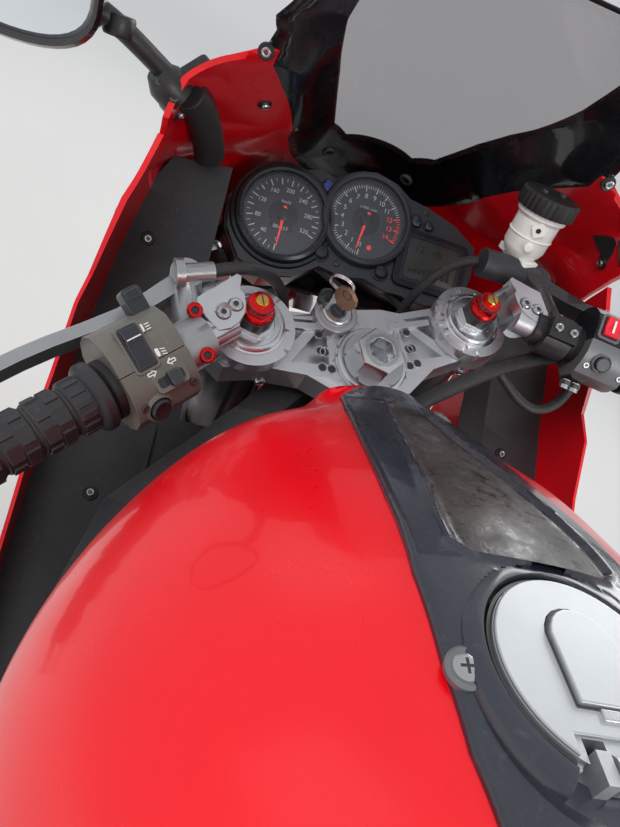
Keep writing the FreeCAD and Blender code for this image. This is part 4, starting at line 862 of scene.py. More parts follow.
def make_keys():
    b = Build("ignition_keys", BARS, "steering")
    lock = at(44, 26, 8)
    b.lathe([(19.4, 0), (19.4, 1), (18.4, 2), (14.6, 2.2), (14, 1.4)], FRAME_ALLOY, lock, 48)
    b.lathe([(13.2, 0), (13.2, 4.6), (12, 5.6), (8, 5.6), (7.4, 4.6)], MILLED, lock)
    b.lathe([(7, 3), (7, 5.4)], BUTTON, lock, 30)
    # key in the lock, drawn flat and stood up
    flat = lock @ at(0, 0, 5) @ spun(35) @ spun(90, "X") @ at(0, 0, -1)
    b.prism([(-3.6, -2), (3.6, -2), (3.6, 10), (-3.6, 10)], 0, 2, STEEL, flat)
    bow = [(-4, 8), (4, 8), (9, 13), (11, 20), (9, 27), (3, 31), (-3, 31), (-9, 27), (-11, 20), (-9, 13)]
    b.prism(bow, -0.8, 2.8, COPPER, flat)
    b.lathe([(3.6, -1), (4.6, -1.2), (4.6, 3.2), (3.6, 3)], BUTTON, flat @ at(0, 26), 20, closed=True)
    # key ring and the spare key on it
    ring = flat @ placed((9, 28, 1), (0.3, 0.2, 1))
    b.hoop(10.5, 0.8, CHROME, ring)
    b.hoop(10.5, 0.8, CHROME, ring @ at(0, 0.4, 1.4))
    spare = flat @ placed((17, 20, 1), (0.8, -0.3, 0.5))
    b.prism(rounded((-6, -22), (6, -6), 4), -1.2, 1.2, BUTTON, spare)
    b.prism([(-2.6, -46), (0, -48), (2.6, -46), (2.6, -22), (-2.6, -22)], -0.8, 0.8, STEEL, spare)
    b.done(bevel=0.4)


# Instruments, drawn right, up the dash and out of it
TACH = (-3.6, 0.0)
SPEEDO = (-90.0, -22.0)
DIAL_FACE = 40.5
FIRST_ANGLE = -92.0
SWEEP = -290.0
SCALE_EDGE = 38
NUMERAL_RADIUS = 26.3
DISPLAY_TOP = 6.0
DASH_OUTLINE = [(-132, 10), (-100, 26), (-62, 38), (-46, 34), (-30, 46), (-4, 56), (22, 51), (40, 40),
                (62, 37), (98, 27), (126, 10), (129, -22), (122, -56), (84, -68), (36, -66), (8, -60),
                (-14, -66), (-42, -62), (-66, -80), (-98, -88), (-126, -78), (-145, -50), (-149, -18)]


def scale_marks(b, centre, count, minor, numerals, size, red_from=None):
    """Ticks and numerals round a dial, clockwise from its lowest point."""
    steps = (count - 1) * minor
    for i in range(steps + 1):
        angle = FIRST_ANGLE + SWEEP * i / steps
        major = i % minor == 0
        half = (SCALE_EDGE - (31.5 if major else 34.5)) / 2
        wide = 0.55 if major else 0.3
        finish = RED_PAINTED_GLOW if red_from is not None and i >= red_from * minor else DIAL_MARK
        turn = at(*polar(SCALE_EDGE - half, angle, centre), -0.3) @ spun(angle)
        b.box((-half, -wide, 0), (half, wide, 0.25), finish, turn)
        if major:
            b.print_text(numerals[i // minor], size, finish, at(*polar(NUMERAL_RADIUS, angle, centre), -0.2))


def make_dial(b, centre, hood):
    place = at(*centre)
    b.lathe([(50.3, -10), (50.3, 5), (48.6, 8), (45.5, 9.4), (43.4, 8.8), (41.6, 4), (40.8, -3.2), (43, -6)],
            hood, place, 72, closed=True)
    b.lathe([(DIAL_FACE + 0.8, -2.6), (DIAL_FACE + 0.8, -0.4)], DIAL, place, 64)
    b.lathe([(15.5, -0.8), (15.5, -0.3), (14.6, -0.1)], DASH_BLACK, place)


def needle(b, centre, angle):
    place = at(*centre) @ spun(angle)
    b.prism([(-9, -1.6), (-9, 1.6), (6, 1.5), (33, 0.4), (33, -0.4), (6, -1.5)], 1.1, 2.1, RED_PAINTED_GLOW, place)
    b.lathe([(6.4, -0.8), (6.4, 2.6), (5.2, 3.4), (2, 3.6)], DASH_BLACK, place, 32)


def cross_screw(b, place, radius, finish):
    b.lathe([(radius, -0.6), (radius, 0.9), (radius * 0.7, 1.7), (radius * 0.2, 1.9)], finish, place, 24)
    long, slim = radius * 0.55, radius * 0.11
    for angle in (0, 90):
        b.box((-long, -slim, 1.2), (long, slim, 2.0), BUTTON, place @ spun(angle))


def make_instruments():
    b = Build("instruments", DASH, "chassis")
    b.prism(DASH_OUTLINE, -50, -8, DASH_BLACK)
    b.prism([(x * 0.985, y * 0.985 - 0.4) for x, y in DASH_OUTLINE], -9, -1, DASH_GREY)
    make_dial(b, SPEEDO, BUTTON)
    make_dial(b, TACH, DASH_GREY)
    # outer shield round the lower left of the speedometer
    b.lathe([(56, -20), (56, -2), (54, 2), (51, 2.6), (49.8, -20)], DASH_BLACK, at(*SPEEDO), 72, closed=True)
    speeds = [" " if k % 2 else str(20 * k) for k in range(17)]
    scale_marks(b, SPEEDO, 17, 2, speeds, 6.2)
    scale_marks(b, TACH, 15, 5, [str(k) for k in range(15)], 7.2, red_from=12)
    needle(b, SPEEDO, -90)
    needle(b, TACH, -98)
    b.lathe([(2.6, -0.6), (2.6, 0.2)], RED_PAINTED_GLOW, at(6, -27), 20)
    b.box((-102, -39, -1), (-78, -32, -0.2), BUTTON)
    for words, size, x, y in (("km/h", 5, -90, -8), ("x1000 r/min", 3.8, -3.6, 13.5),
                              ("004217", 5.4, -90, -35.6)):
        b.print_text(words, size, DIAL_MARK, at(x, y, -0.1))
    # display
    b.prism(rounded((37, -56), (116, 6), 8), -6, 4.6, DASH_BLACK)
    b.prism(rounded((44, -50), (109, 0), 4), 3, 5.6, BUTTON)
    b.prism(rounded((48, -46), (105, -4), 2), 4, DISPLAY_TOP, LCD)
    for x, digits in ((60, "12"), (80, "48")):
        b.print_text(digits, 12, LCD_MARK, at(x, -14, DISPLAY_TOP + 0.05))
    for k in range(9):
        x = 52 + 5.4 * k
        b.box((x, -40, DISPLAY_TOP), (x + 4, -36.5 + 1.2 * k, DISPLAY_TOP + 0.15), LCD_MARK)
    # warning lamps and buttons
    for x, y, r, lens in ((-65, 18, 5.6, DARK_LAMP), (-51, 22, 5.6, BLUE_LAMP), (37, 20, 5, DARK_LAMP),
                          (51, 17, 5, DARK_LAMP), (66, 16, 4, DARK_LAMP)):
        b.lathe([(r + 2, -3), (r + 2, 0.4), (r + 1, 1.2), (r, 0.6)], DASH_BLACK, at(x, y), 28)
        b.lathe([(r, -2), (r, 1.1), (r * 0.7, 1.9), (r * 0.2, 2.1)], lens, at(x, y), 28)
    for x, y in ((-43, -48), (24, -49)):
        b.lathe([(9, -3), (9, 1), (8, 1.6), (7.4, 0.6)], DASH_GREY, at(x, y), 32)
        b.lathe([(6.8, -2), (6.8, 4), (5.4, 5.6), (2, 6.1)], BUTTON, at(x, y), 32)
    for x, y in ((-24, -54), (118, -2), (118, -48), (60, 30), (-118, 4)):
        cross_screw(b, at(x, y, -0.8), 3.2, DARK_STEEL)
    b.done(bevel=1.0, segments=3, replaces=["instrument_cluster"])


def make_dial_glasses():
    b = Build("dial_glasses", DASH, "chassis")
    for centre in (TACH, SPEEDO):
        b.lathe([(42.6, 4.6), (42.6, 5.4), (30, 6.2), (12, 6.6)], DIAL_GLASS, at(*centre), 56)
    b.done()


# Screen: a black border round a smoked clear middle
CLEAR_EDGE = [(1418, 40), (1398, 59), (1339, 75), (1271, 91), (1228, 100), (1150, 96)]


def make_screen():
    mesh = cad_mesh("windscreen")
    ahead, left = bike_way(1, 0, 0), bike_way(0, 1, 0)
    for side in SIDES:
        for (x0, y0), (x1, y1) in zip(CLEAR_EDGE, CLEAR_EDGE[1:]):
            way = ahead * (y1 - y0) * side - left * (x1 - x0)
            sliced(mesh, (x0, side * y0, 0), way.normalized())
    sliced(mesh, (CLEAR_EDGE[0][0], 0, 0), ahead)
    for face in mesh.faces:
        spot = BIKE_BACK @ face.calc_center_median()
        width = table_value(CLEAR_EDGE[::-1], spot.x) or 0.0
        face.material_index = 1 if abs(spot.y) < width else 0
    finished("screen", mesh_data("screen", mesh, [SCREEN_BLACK, SMOKED]), angle=40, replaces=["windscreen"])


RIDER_EYE = Vector((698.7, 158.3, 1170.8))
SCREEN_SCREWS = [(1432, 48, 931), (1328, 89, 1017), (1236, 126, 1084)]


def make_screen_screws():
    b = Build("screen_screws", BIKE, "chassis")
    for x, y, z in SCREEN_SCREWS:
        for side in SIDES:
            spot = on_surface("windscreen", (x, side * y, z), RIDER_EYE)
            b.lathe([(8, -0.5), (8, 1.6), (7, 2.6), (5.4, 2.6), (5, 1.8)], RIM_GREY, spot, 32)
            cross_screw(b, spot @ at(0, 0, 1.4), 4.6, STEEL)
    b.done()


# Tank top, with the panel drawn over the tank's own surface
LID = Vector((796, 0, 1002))
LID_TILT = radians(-6.0)
LID_SPACE = BIKE @ Matrix.Translation(LID) @ Matrix.Rotation(-LID_TILT, 4, "Y")
LID_HOLE = 40.5
ABOVE_TANK = 1200
TANK_RIM = 870
PANEL_EDGE = [(726, 8), (734, 24), (748, 38), (768, 47), (795, 53), (830, 56), (880, 55), (940, 51),
              (1000, 47), (1034, 41), (1048, 30), (1054, 12)]
PAD_EDGE = [(838, 30), (846, 38), (860, 38), (1012, 17), (1018, 10)]
PANEL_STEP = 2.0
PANEL_COLUMNS = 70


def panel_height(x, y, width):
    """The panel's thickness: a round rim, with a shallow recess ahead of the lid and a ridge round it."""
    rim = min(1.0, max(0.0, (width - abs(y)) / 4.0), (x - PANEL_EDGE[0][0] + 2) / 4.0,
              (PANEL_EDGE[-1][0] + 2 - x) / 4.0)
    height = 4.2 * sqrt(max(0.0, 1 - (1 - rim) ** 2))
    pad = table_value(PAD_EDGE, x)
    inside = -3.0 if pad is None else pad - abs(y)
    inside = min(inside, x - PAD_EDGE[0][0], PAD_EDGE[-1][0] - x)
    ridge = 1.6 * exp(-(inside / 2.4) ** 2)
    return height + ridge - 2.2 * min(1.0, max(0.0, inside / 4.0)), inside > 3.0


def on_tank(x, y):
    """The point of the tank under (x, y) with its normal, or None beside the tank."""
    spot, normal, _, _ = tree_of("fuel_tank").ray_cast(BIKE @ Vector((x, y, ABOVE_TANK)), DOWN)
    return None if spot is None else (BIKE_BACK @ spot, way_back(normal))


def make_tank_panel():
    b = Build("tank_top_panel", BIKE, "chassis")
    plain, pad = b.slot(PANEL_BLACK), b.slot(PAD_BLACK)
    start, end = PANEL_EDGE[0][0], PANEL_EDGE[-1][0]
    count = round((end - start) / PANEL_STEP)
    rows = []
    for i in range(count + 1):
        x = start + (end - start) * i / count
        width = table_value(PANEL_EDGE, min(x, end - 0.001))
        row = []
        for j in range(PANEL_COLUMNS + 1):
            y = width * sin(pi / 2 * (2 * j / PANEL_COLUMNS - 1))
            found = on_tank(x, y)
            if found is None or found[0].z < TANK_RIM:
                row.append(None)
                continue
            height, in_pad = panel_height(x, y, width)
            row.append((b.mesh.verts.new(found[0] + found[1] * height), hypot(x - LID.x, y), in_pad))
        rows.append(row)
    for row, after in zip(rows, rows[1:]):
        for j in range(PANEL_COLUMNS):
            corners = (row[j], row[j + 1], after[j + 1], after[j])
            if None not in corners and min(corner[1] for corner in corners) > LID_HOLE:
                face = b.mesh.faces.new([corner[0] for corner in corners])
                face.material_index = pad if corners[0][2] else plain
    b.done(replaces=["tank_panel"], angle=60)
    b = Build("tank_panel_screws", BIKE, "chassis")
    for x, y in ((1028, 33), (791, 46)):
        for side in SIDES:
            place = placed(*on_tank(x, side * y)) @ at(0, 0, 3.4)
            b.lathe([(7.4, -1), (7.4, 1.4), (6.4, 2.2), (5.4, 1.8)], RIM_GREY, place, 28)
            cross_screw(b, place @ at(0, 0, 1.2), 4.8, STEEL)
    b.done()


HINGE_GAP = 150


def make_fuel_lid():
    b = Build("lid_surround", LID_SPACE, "chassis")
    b.lathe([(38.2, -9), (38.2, -1.5), (47.5, -1.5), (47.5, -9)], PANEL_BLACK, steps=96, closed=True)
    surround = ((38.2, 47.5, -1.5), (38.2, 47.5, 0.5), (38.2, 46.5, 3.6), (39.4, 43.5, 5.4))
    lining = ((36.4, 37.6, -9), (36.4, 37.6, 3.8))
    for finish, sections in ((PANEL_BLACK, surround), (DARK_STEEL, lining)):
        rings = []
        for slim, wide, z in sections:
            outer = arc((0, 0), wide, -HINGE_GAP, HINGE_GAP, 72)
            rings.append(level(outer + arc((0, 0), slim, HINGE_GAP, -HINGE_GAP, 72), z))
        b.skin(rings, finish)
    b.done()
    b = Build("fuel_cap", LID_SPACE, "fuel_lid")
    round_edge = arc((0, 0), 35.8, -HINGE_GAP, HINGE_GAP, 72)
    notch = [(-24.5, round_edge[-1][1]), (-24.5, round_edge[0][1])]
    b.prism(round_edge + notch, -2, 6.4, LID_ALLOY)
    flap = [(-15, -12.5), (-15, 12.5), (10, 13.5)] + arc((8, 0), 13.5, 68, -68, 8) + [(10, -13.5)]
    b.prism([(x * 1.08, y * 1.08) for x, y in flap], 4, 6.9, BUTTON)
    b.prism(flap, 5, 8.6, LID_ALLOY)
    b.box((-19.5, -5, 5), (-15.4, 5, 7.6), MILLED)
    b.done(bevel=0.7, segments=3, angle=30)


# Inner panels and liners
SHELF = [(740, 630), (850, 668), (1000, 705), (1100, 735), (1150, 762), (1196, 800), (1236, 850),
         (1270, 915)]
LINER_PLAN = [(1238, 168), (1238, 142), (1134, 142), (1134, 112), (1096, 103), (1040, 122), (1000, 143),
              (900, 176), (1000, 176), (1100, 172)]


def cut_node(name, new_name, cuts, finish):
    """A copy of a CAD shell without what lies on the sides that the cuts' normals point to."""
    mesh = cad_mesh(name)
    for point, way in cuts:
        sliced(mesh, point, bike_way(*way), clear_outer=True)
        bmesh.ops.holes_fill(mesh, edges=[edge for edge in mesh.edges if edge.is_boundary])
    return finished(new_name, mesh_data(new_name, mesh, [finish]), replaces=[name])


def make_liners():
    for side, name in ((1, "inner_panel_left"), (-1, "inner_panel_right")):
        inside = ((1300, side * 151, 900), (0, -side, 0))
        above = ((1281, side * 190, 934), (0.15, side * 0.12, 1))
        cut_node(name, name + "_trimmed", (inside, above), INNER_GREY_PAINTED_SHADE)
    b = Build("steering_liners", BIKE, "chassis")
    for side in SIDES:
        rings = [[Vector((x, side * y, table_value(SHELF, x) - drop)) for x, y in LINER_PLAN]
                 for drop in (4, 7)]
        b.skin(rings, INNER_GREY_PAINTED_SHADE)
    tray = [(1304, 168), (1330, 160), (1450, 112), (1496, 70)]
    tray += [(x, -y) for x, y in reversed(tray)]
    rings = [[Vector((x, y, 826 - 0.28 * (x - 1300) - drop)) for x, y in tray] for drop in (0, 3)]
    b.skin(rings, BLACK_PLASTIC)
    for y in (-96, -40, 30, 84):
        b.box((1318, y, 812), (1380, y + 24, 846), BLACK_PLASTIC)
        b.tube([(1322, y + 12, 842), (1306, y + 20, 858), (1290, y + 6, 862), (1284, y - 20, 852)], 4.5, HOSE)
    b.done(bevel=0.8)


FAIRING_SCREWS = [("upper_fairing", (1216, 150, 1056)), ("upper_fairing", (1276, 139, 1004)),
                  ("upper_fairing", (1233, 200, 985)), ("inner_panel_left", (1244, 210, 864)),
                  ("inner_panel_left", (1170, 200, 778)), ("inner_panel_left", (1050, 200, 720))]


def make_cockpit_screws():
    b = Build("cockpit_screws", BIKE, "chassis")
    for name, (x, y, z) in FAIRING_SCREWS:
        for side, node_name in ((1, name), (-1, name.replace("left", "right"))):
            spot = on_surface(node_name, (x, side * y, z), RIDER_EYE)
            b.lathe([(6.4, -1), (6.4, 0.8), (5.6, 1.6), (4.4, 1.4)], BLACK_PLASTIC, spot, 24)
            b.bolt(spot @ at(0, 0, 1), 3.8, STEEL)
    b.done(bevel=0.3)


SMOOTHED = ("fuel_tank", "upper_fairing", "side_fairing_left", "side_fairing_right", "lower_cowl",
            "tail_cowl")


def make_smooth_panels():
    """Copies of the painted panels, shaded as one smooth surface between their edges."""
    for name in SMOOTHED:
        made = cut_node(name, name + "_skin", (), PAINT)
        made.modifiers.new("even", "WEIGHTED_NORMAL").keep_sharp = True


def make_mirror_boots():
    b = Build("mirror_boots", BIKE, "chassis")
    b.tube([(1236, 200, 1004), (1252, 190, 990), (1268, 180, 966), (1278, 174, 944)], 14, RUBBER, 16)
    for side in SIDES:
        b.prism(rounded((-24, -16), (24, 16), 6), -8, 4, BLACK_PLASTIC,
                placed((1232, side * 200, 1008), (-0.5, -side * 0.75, -0.3)))
    b.done(bevel=1.0)


# Mirrors
MIRROR_HEAD = Vector((1196, 345, 1062))
MIRROR_HALF = (86.0, 50.0)
# scale, place ahead and inset of each section of a mirror's shell
MIRROR_SECTIONS = ((1.0, -2, 9), (1.0, -6, 8), (1.0, -9, 5), (1.0, -9, 2.5), (1.0, -5, 0), (1.0, 6, 0),
                   (0.93, 20, 0), (0.74, 33, 0), (0.42, 42, 0), (0.1, 45, 0))


def mirror_outline(scale, ahead, side, inset=0.0):
    points = []
    for c, s in circle(1, 48):
        y = copysign(abs(c) ** 0.8, c) * (MIRROR_HALF[0] * scale - inset)
        z = copysign(abs(s) ** 0.72, s) * (MIRROR_HALF[1] * scale - inset) + 0.05 * y
        points.append(MIRROR_HEAD + Vector((ahead + 0.10 * y, y, z)))
    return [Vector((x, side * y, z)) for x, y, z in points]


def make_mirrors():
    b = Build("mirror_pair", BIKE, "chassis")
    for side in SIDES:
        b.skin([mirror_outline(scale, ahead, side, inset) for scale, ahead, inset in MIRROR_SECTIONS],
               GLOSS_BLACK)
        b.skin([mirror_outline(1.0, ahead, side, 7.5) for ahead in (-4.6, -3.4)], MIRROR_GLASS)
        base = Vector((1222, side * 214, 1008))
        knee = Vector((1205, side * 252, 1040))
        b.lathe([(15, -10), (15, 4), (12, 9), (9, 14)], BLACK_PLASTIC, placed(base, knee - base), 32)
        b.tube([base + Vector((0, 0, 6)), knee, (1201, side * 285, 1052), (1212, side * 322, 1058)], 7.6,
               BLACK_PLASTIC, 14)
        b.lathe([(10, -7), (11, -5), (11, 5), (10, 7)], BLACK_PLASTIC, placed(knee, (0.2, 0, 1)), 28)
        for k in SIDES:
            b.bolt(placed(base + Vector((-10, side * 6 * k, 4 * k)), (-0.8, -side * 0.3, 0.4)), 4, DARK_STEEL)
    b.done(bevel=0.8, angle=50, replaces=["mirrors"])


# Cables and hoses, with the routes of the solids: ahead, left and up from the top clamp
CORDS = {
    "clutch_cable_line": ("clutch_cable", 5.0, 0.29, [
        (54, 138, 54), (58, 122, 53), (62, 104, 46), (66, 84, 30), (66, 66, 0), (60, 58, -40), (50, 60, -90),
        (44, 64, -140), (40, 66, -190)]),
    "front_brake_hose": ("brake_hoses", 4.5, 0.25, [
        (77, -107, 42), (80, -98, 38), (80, -82, 24), (74, -66, -4), (64, -60, -44), (54, -62, -94),
        (46, -66, -144), (42, -68, -190)]),
    "caliper_hose_left": ("brake_hoses", 4.5, 0.29, [
        (8, 131, -228), (2, 129, -252), (-6, 122, -300), (-10, 110, -362), (-10, 100, -424), (-7, 92, -474),
        (-3, 86, -512)]),
    "caliper_hose_right": ("brake_hoses", 4.5, 0.29, [
        (8, -131, -228), (2, -129, -252), (-6, -122, -300), (-10, -110, -362), (-10, -100, -424),
        (-7, -92, -474), (-3, -86, -512)]),
    "switch_loom": ("wiring_loom", 7.0, 0.22, [
        (-14, -196, 30), (-8, -176, 15), (-10, -148, 12), (-18, -108, 12), (-34, -52, 2), (-43, -26, -6),
        (-44, -4, -12), (-30, 10, -14)]),
    "throttle_cable": ("wiring_loom", 4.5, 0.13, [
        (-22, -199, 28), (-36, -196, 10), (-50, -182, -4), (-52, -160, -8), (-42, -142, -4), (-28, -128, 4),
        (-16, -116, 12)]),
}


def make_cords():
    for name, (node_name, radius, length, route) in CORDS.items():
        curve = bpy.data.curves.new(name, "CURVE")
        curve.dimensions = "3D"
        curve.bevel_depth = radius * MM
        curve.bevel_resolution = 5
        curve.resolution_u = 10
        curve.use_fill_caps = True
        spline = curve.splines.new("NURBS")
        spline.points.add(len(route) - 1)
        for point, place in zip(spline.points, route):
            point.co = (BARS @ Vector(place)).to_4d()
        spline.order_u = 3
        spline.use_endpoint_u = True
        curve.materials.append(HOSE)
        made = shown(name, curve)
        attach(made, "steering")
        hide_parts(node_name)


# Wheels
RIM_RADIUS = 216.0
ACROSS_WHEEL = placed((0, 0, 0), (0, 1, 0))
PITCH_MARKS = (0.0, 0.025, 0.115, 0.14, 0.32, 0.5, 0.525, 0.615, 0.64, 0.82)
CROWN_MARKS = (0.0, 0.08, 0.12, 0.26, 0.42, 0.58, 0.72, 0.84, 0.88, 0.95, 1.0)
TREAD_DEPTH = 4.0
GROOVE_LEAN = 0.9
GROOVE_SPAN = (0.1, 0.86)
LEFT_GROOVE = (1, 2)
RIGHT_GROOVE = (6, 7)


def make_tyre(name, node_name, space, body, radius, half, bead, pitches):
    """A tyre whose slanted grooves are cut in its own columns, which lean with them."""
    b = Build(name, space, body)
    index = b.slot(TYRE)
    sag = 0.38 * (radius - RIM_RADIUS)
    crown = (half ** 2 + sag ** 2) / (2 * sag)
    top = asin(half / crown)
    side_radius = RIM_RADIUS + 0.34 * (radius - RIM_RADIUS)
    stations = [(mark, radius - crown + crown * cos(top * mark), crown * sin(top * mark))
                for mark in CROWN_MARKS]
    stations += [(1.0, r, y) for r, y in (
        (side_radius + 0.55 * (radius - sag - side_radius), half + 0.6), (side_radius, half - 2),
        (RIM_RADIUS + 22, bead + 8), (RIM_RADIUS + 19, bead + 7.2), (RIM_RADIUS + 14, bead),
        (RIM_RADIUS + 2, bead - 3))]
    line = [(-mark, r, -y) for mark, r, y in reversed(stations)] + stations[1:]
    rows = []
    for pitch in range(pitches):
        for column, share in enumerate(PITCH_MARKS):
            row = []
            for mark, r, y in line:
                left_cut = column in LEFT_GROOVE and GROOVE_SPAN[0] < mark < GROOVE_SPAN[1]
                right_cut = column in RIGHT_GROOVE and GROOVE_SPAN[0] < -mark < GROOVE_SPAN[1]
                depth = TREAD_DEPTH if left_cut or right_cut else 0.0
                lean = GROOVE_LEAN * min(abs(mark), 1.0)
                u, v = polar(r - depth, 360 * (pitch + share - lean) / pitches)
                row.append(b.mesh.verts.new((u, y, v)))
            rows.append(row)
    for row, after in zip(rows, rows[1:] + rows[:1]):
        for j in range(len(line)):
            k = (j + 1) % len(line)
            b.mesh.faces.new((row[j], row[k], after[k], after[j])).material_index = index
    b.done(angle=28, replaces=[node_name])


def plate_with_holes(b, loops, low, high, finish, place):
    """A flat plate between its first loop and the other loops, which are holes."""
    flat = bmesh.new()
    edges = []
    corners = []
    for loop in loops:
        made = [flat.verts.new((x, y, 0)) for x, y in loop]
        corners.append(made)
        edges += [flat.edges.new((first, second)) for first, second in zip(made, made[1:] + made[:1])]
    bmesh.ops.triangle_fill(flat, use_beauty=True, use_dissolve=False, edges=edges)
    index = b.slot(finish)
    under = {vert: b.mesh.verts.new(place @ Vector((vert.co.x, vert.co.y, low))) for vert in flat.verts}
    over = {vert: b.mesh.verts.new(place @ Vector((vert.co.x, vert.co.y, high))) for vert in flat.verts}
    for face in flat.faces:
        b.mesh.faces.new([over[vert] for vert in face.verts]).material_index = index
        b.mesh.faces.new([under[vert] for vert in reversed(face.verts)]).material_index = index
    for loop in corners:
        for first, second in zip(loop, loop[1:] + loop[:1]):
            b.mesh.faces.new((under[first], under[second], over[second], over[first])).material_index = index
    flat.free()


def drilled_disc(b, y, outer, inner, hub, bore, holes):
    place = ACROSS_WHEEL @ at(0, 0, y)
    loops = [circle(outer, 96), circle(inner, 72)]
    for k in range(holes):
        for row in range(3):
            reach = inner + (outer - inner) * (0.22 + 0.28 * row)
            loops.append(circle(3.4, 10, polar(reach, 360 * (k + row / 3) / holes)))
    plate_with_holes(b, loops, -2.5, 2.5, DISC, place)
    b.lathe([(bore, -3), (hub, -3), (hub, 3), (bore, 3)], BLACK_PLASTIC, place, 48, closed=True)
    for k in range(6):
        turn = place @ spun(60 * k + 15)
        b.box((hub - 4, -9, -2.2), (inner - 2, 9, 2.2), BLACK_PLASTIC, turn)
        b.lathe([(7.5, -4), (7.5, 4), (5, 4.6)], STEEL, turn @ at(inner, 0), 24)
        b.hexagon(6.2, -4.6, 4.6, STEEL, turn @ at(hub - 12, 0))


def make_brake_discs():
    b = Build("front_brake_discs", FRONT, "front_wheel")
    b.lathe([(12.6, -73), (20, -73), (20, 73), (12.6, 73)], STEEL, ACROSS_WHEEL, 48, closed=True)
    for y in (70, -70):
        drilled_disc(b, y, 160, 118, 62, 20, 24)
    b.done(bevel=0.4, replaces=["front_discs"])
    b = Build("rear_brake_disc", REAR, "rear_wheel")
    b.lathe([(12.6, -98), (40, -98), (40, -84), (12.6, -84)], STEEL, ACROSS_WHEEL, 48, closed=True)
    drilled_disc(b, -95, 110, 78, 52, 40, 18)
    b.done(bevel=0.4, replaces=["rear_disc"])


SPROCKET_TEETH = 41
CHAIN_OUT = 108
CHAIN_PITCH = 15.875
CHAIN_REAR = Vector((0, 315))
CHAIN_REAR_RADIUS = 110.5
CHAIN_FRONT = Vector((650, 400))
CHAIN_FRONT_RADIUS = 37.5


def make_sprocket():
    b = Build("rear_sprocket_teeth", REAR, "rear_wheel")
    outline = []
    for k in range(SPROCKET_TEETH):
        for share, reach in ((0.0, 91.5), (0.18, 92.5), (0.38, 98.4), (0.62, 98.4), (0.82, 92.5)):
            outline.append(polar(reach, 360 * (k + share) / SPROCKET_TEETH))
    place = ACROSS_WHEEL @ at(0, 0, CHAIN_OUT)
    loops = [outline, circle(44, 48)] + [circle(13, 24, centre) for centre in circle(70, 5)]
    plate_with_holes(b, loops, -3, 3, STEEL, place)
    b.lathe([(12.6, -24), (44, -24), (44, 3), (12.6, 3)], FRAME_ALLOY, place, 48, closed=True)
    for k in range(5):
        b.hexagon(8, -2, 5, STEEL, place @ spun(72 * (k + 0.5)) @ at(56, 0, 3))
    b.done(bevel=0.5, replaces=["rear_sprocket"])


def chain_pins():
    """The places of the chain's pins along its run round both sprockets, seen from the side."""
    way = CHAIN_FRONT - CHAIN_REAR
    lean = asin((CHAIN_REAR_RADIUS - CHAIN_FRONT_RADIUS) / way.length)
    base = atan2(way.y, way.x)
    upper, lower = base + pi / 2 - lean, base - pi / 2 + lean

    def on_circle(centre, radius, angle):
        return centre + Vector((cos(angle), sin(angle))) * radius

    line = [on_circle(CHAIN_FRONT, CHAIN_FRONT_RADIUS, upper - (upper - lower) * k / 24) for k in range(25)]
    line += [on_circle(CHAIN_REAR, CHAIN_REAR_RADIUS, lower - (2 * pi - upper + lower) * k / 72)
             for k in range(73)]
    line.append(line[0])
    lengths = [(second - first).length for first, second in zip(line, line[1:])]
    links = 2 * round(sum(lengths) / CHAIN_PITCH / 2)
    pins = []
    for k in range(links):
        left = sum(lengths) * k / links
        for first, second, length in zip(line, line[1:], lengths):
            if left <= length:
                pins.append(first + (second - first) * (left / length))
                break
            left -= length
    return pins


def make_chain():
    b = Build("drive_chain", BIKE, "chassis")
    pins = chain_pins()
    for k, (pin, after) in enumerate(zip(pins, pins[1:] + pins[:1])):
        run = after - pin
        place = Matrix.Translation((pin.x, CHAIN_OUT, pin.y)) @ Matrix.Rotation(-atan2(run.y, run.x), 4, "Y")
        place = place @ spun(90, "X")
        outline = arc((0, 0), 6.9, 90, 270, 6) + [(run.length / 2, -4.6)]
        outline += arc((run.length, 0), 6.9, -90, 90, 6) + [(run.length / 2, 4.6)]
        reach = 5.6 if k % 2 else 3.8
        for side in SIDES:
            b.prism(outline, side * reach, side * (reach + 1.6), DARK_STEEL, place)
        b.lathe([(2.6, -7.9), (2.6, 7.9)], STEEL, place, 12)
        b.lathe([(4.9, -3.8), (4.9, 3.8)], STEEL, place, 14)
    b.done(angle=40, replaces=["chain"])


def make_wheel_details():
    for name, space, body, bead in (("front_valve", FRONT, "front_wheel", 44),
                                    ("rear_valve", REAR, "rear_wheel", 70)):
        b = Build(name, space, body)
        place = placed((0, 0, RIM_RADIUS - 14), (0.25, 0.55, -0.8))
        b.lathe([(6.5, -2), (6, 3), (4, 6), (3.4, 22), (4.2, 23), (4.2, 32), (3, 34)], RUBBER, place, 20)
        for side in SIDES:
            near, far = side * (bead + 5.4), side * (bead + 7.2)
            tape = [(RIM_RADIUS + 11, near), (RIM_RADIUS + 12.6, far), (RIM_RADIUS + 8, far),
                    (RIM_RADIUS + 6, near)]
            b.lathe(tape, RIM_RED, ACROSS_WHEEL, 120, closed=True)
        b.done()


def beside_wheel(radius, angle, out, way):
    """A place beside a wheel, with its angle in degrees in the wheel's plane."""
    x, z = polar(radius, angle)
    return placed((x, out, z), way)


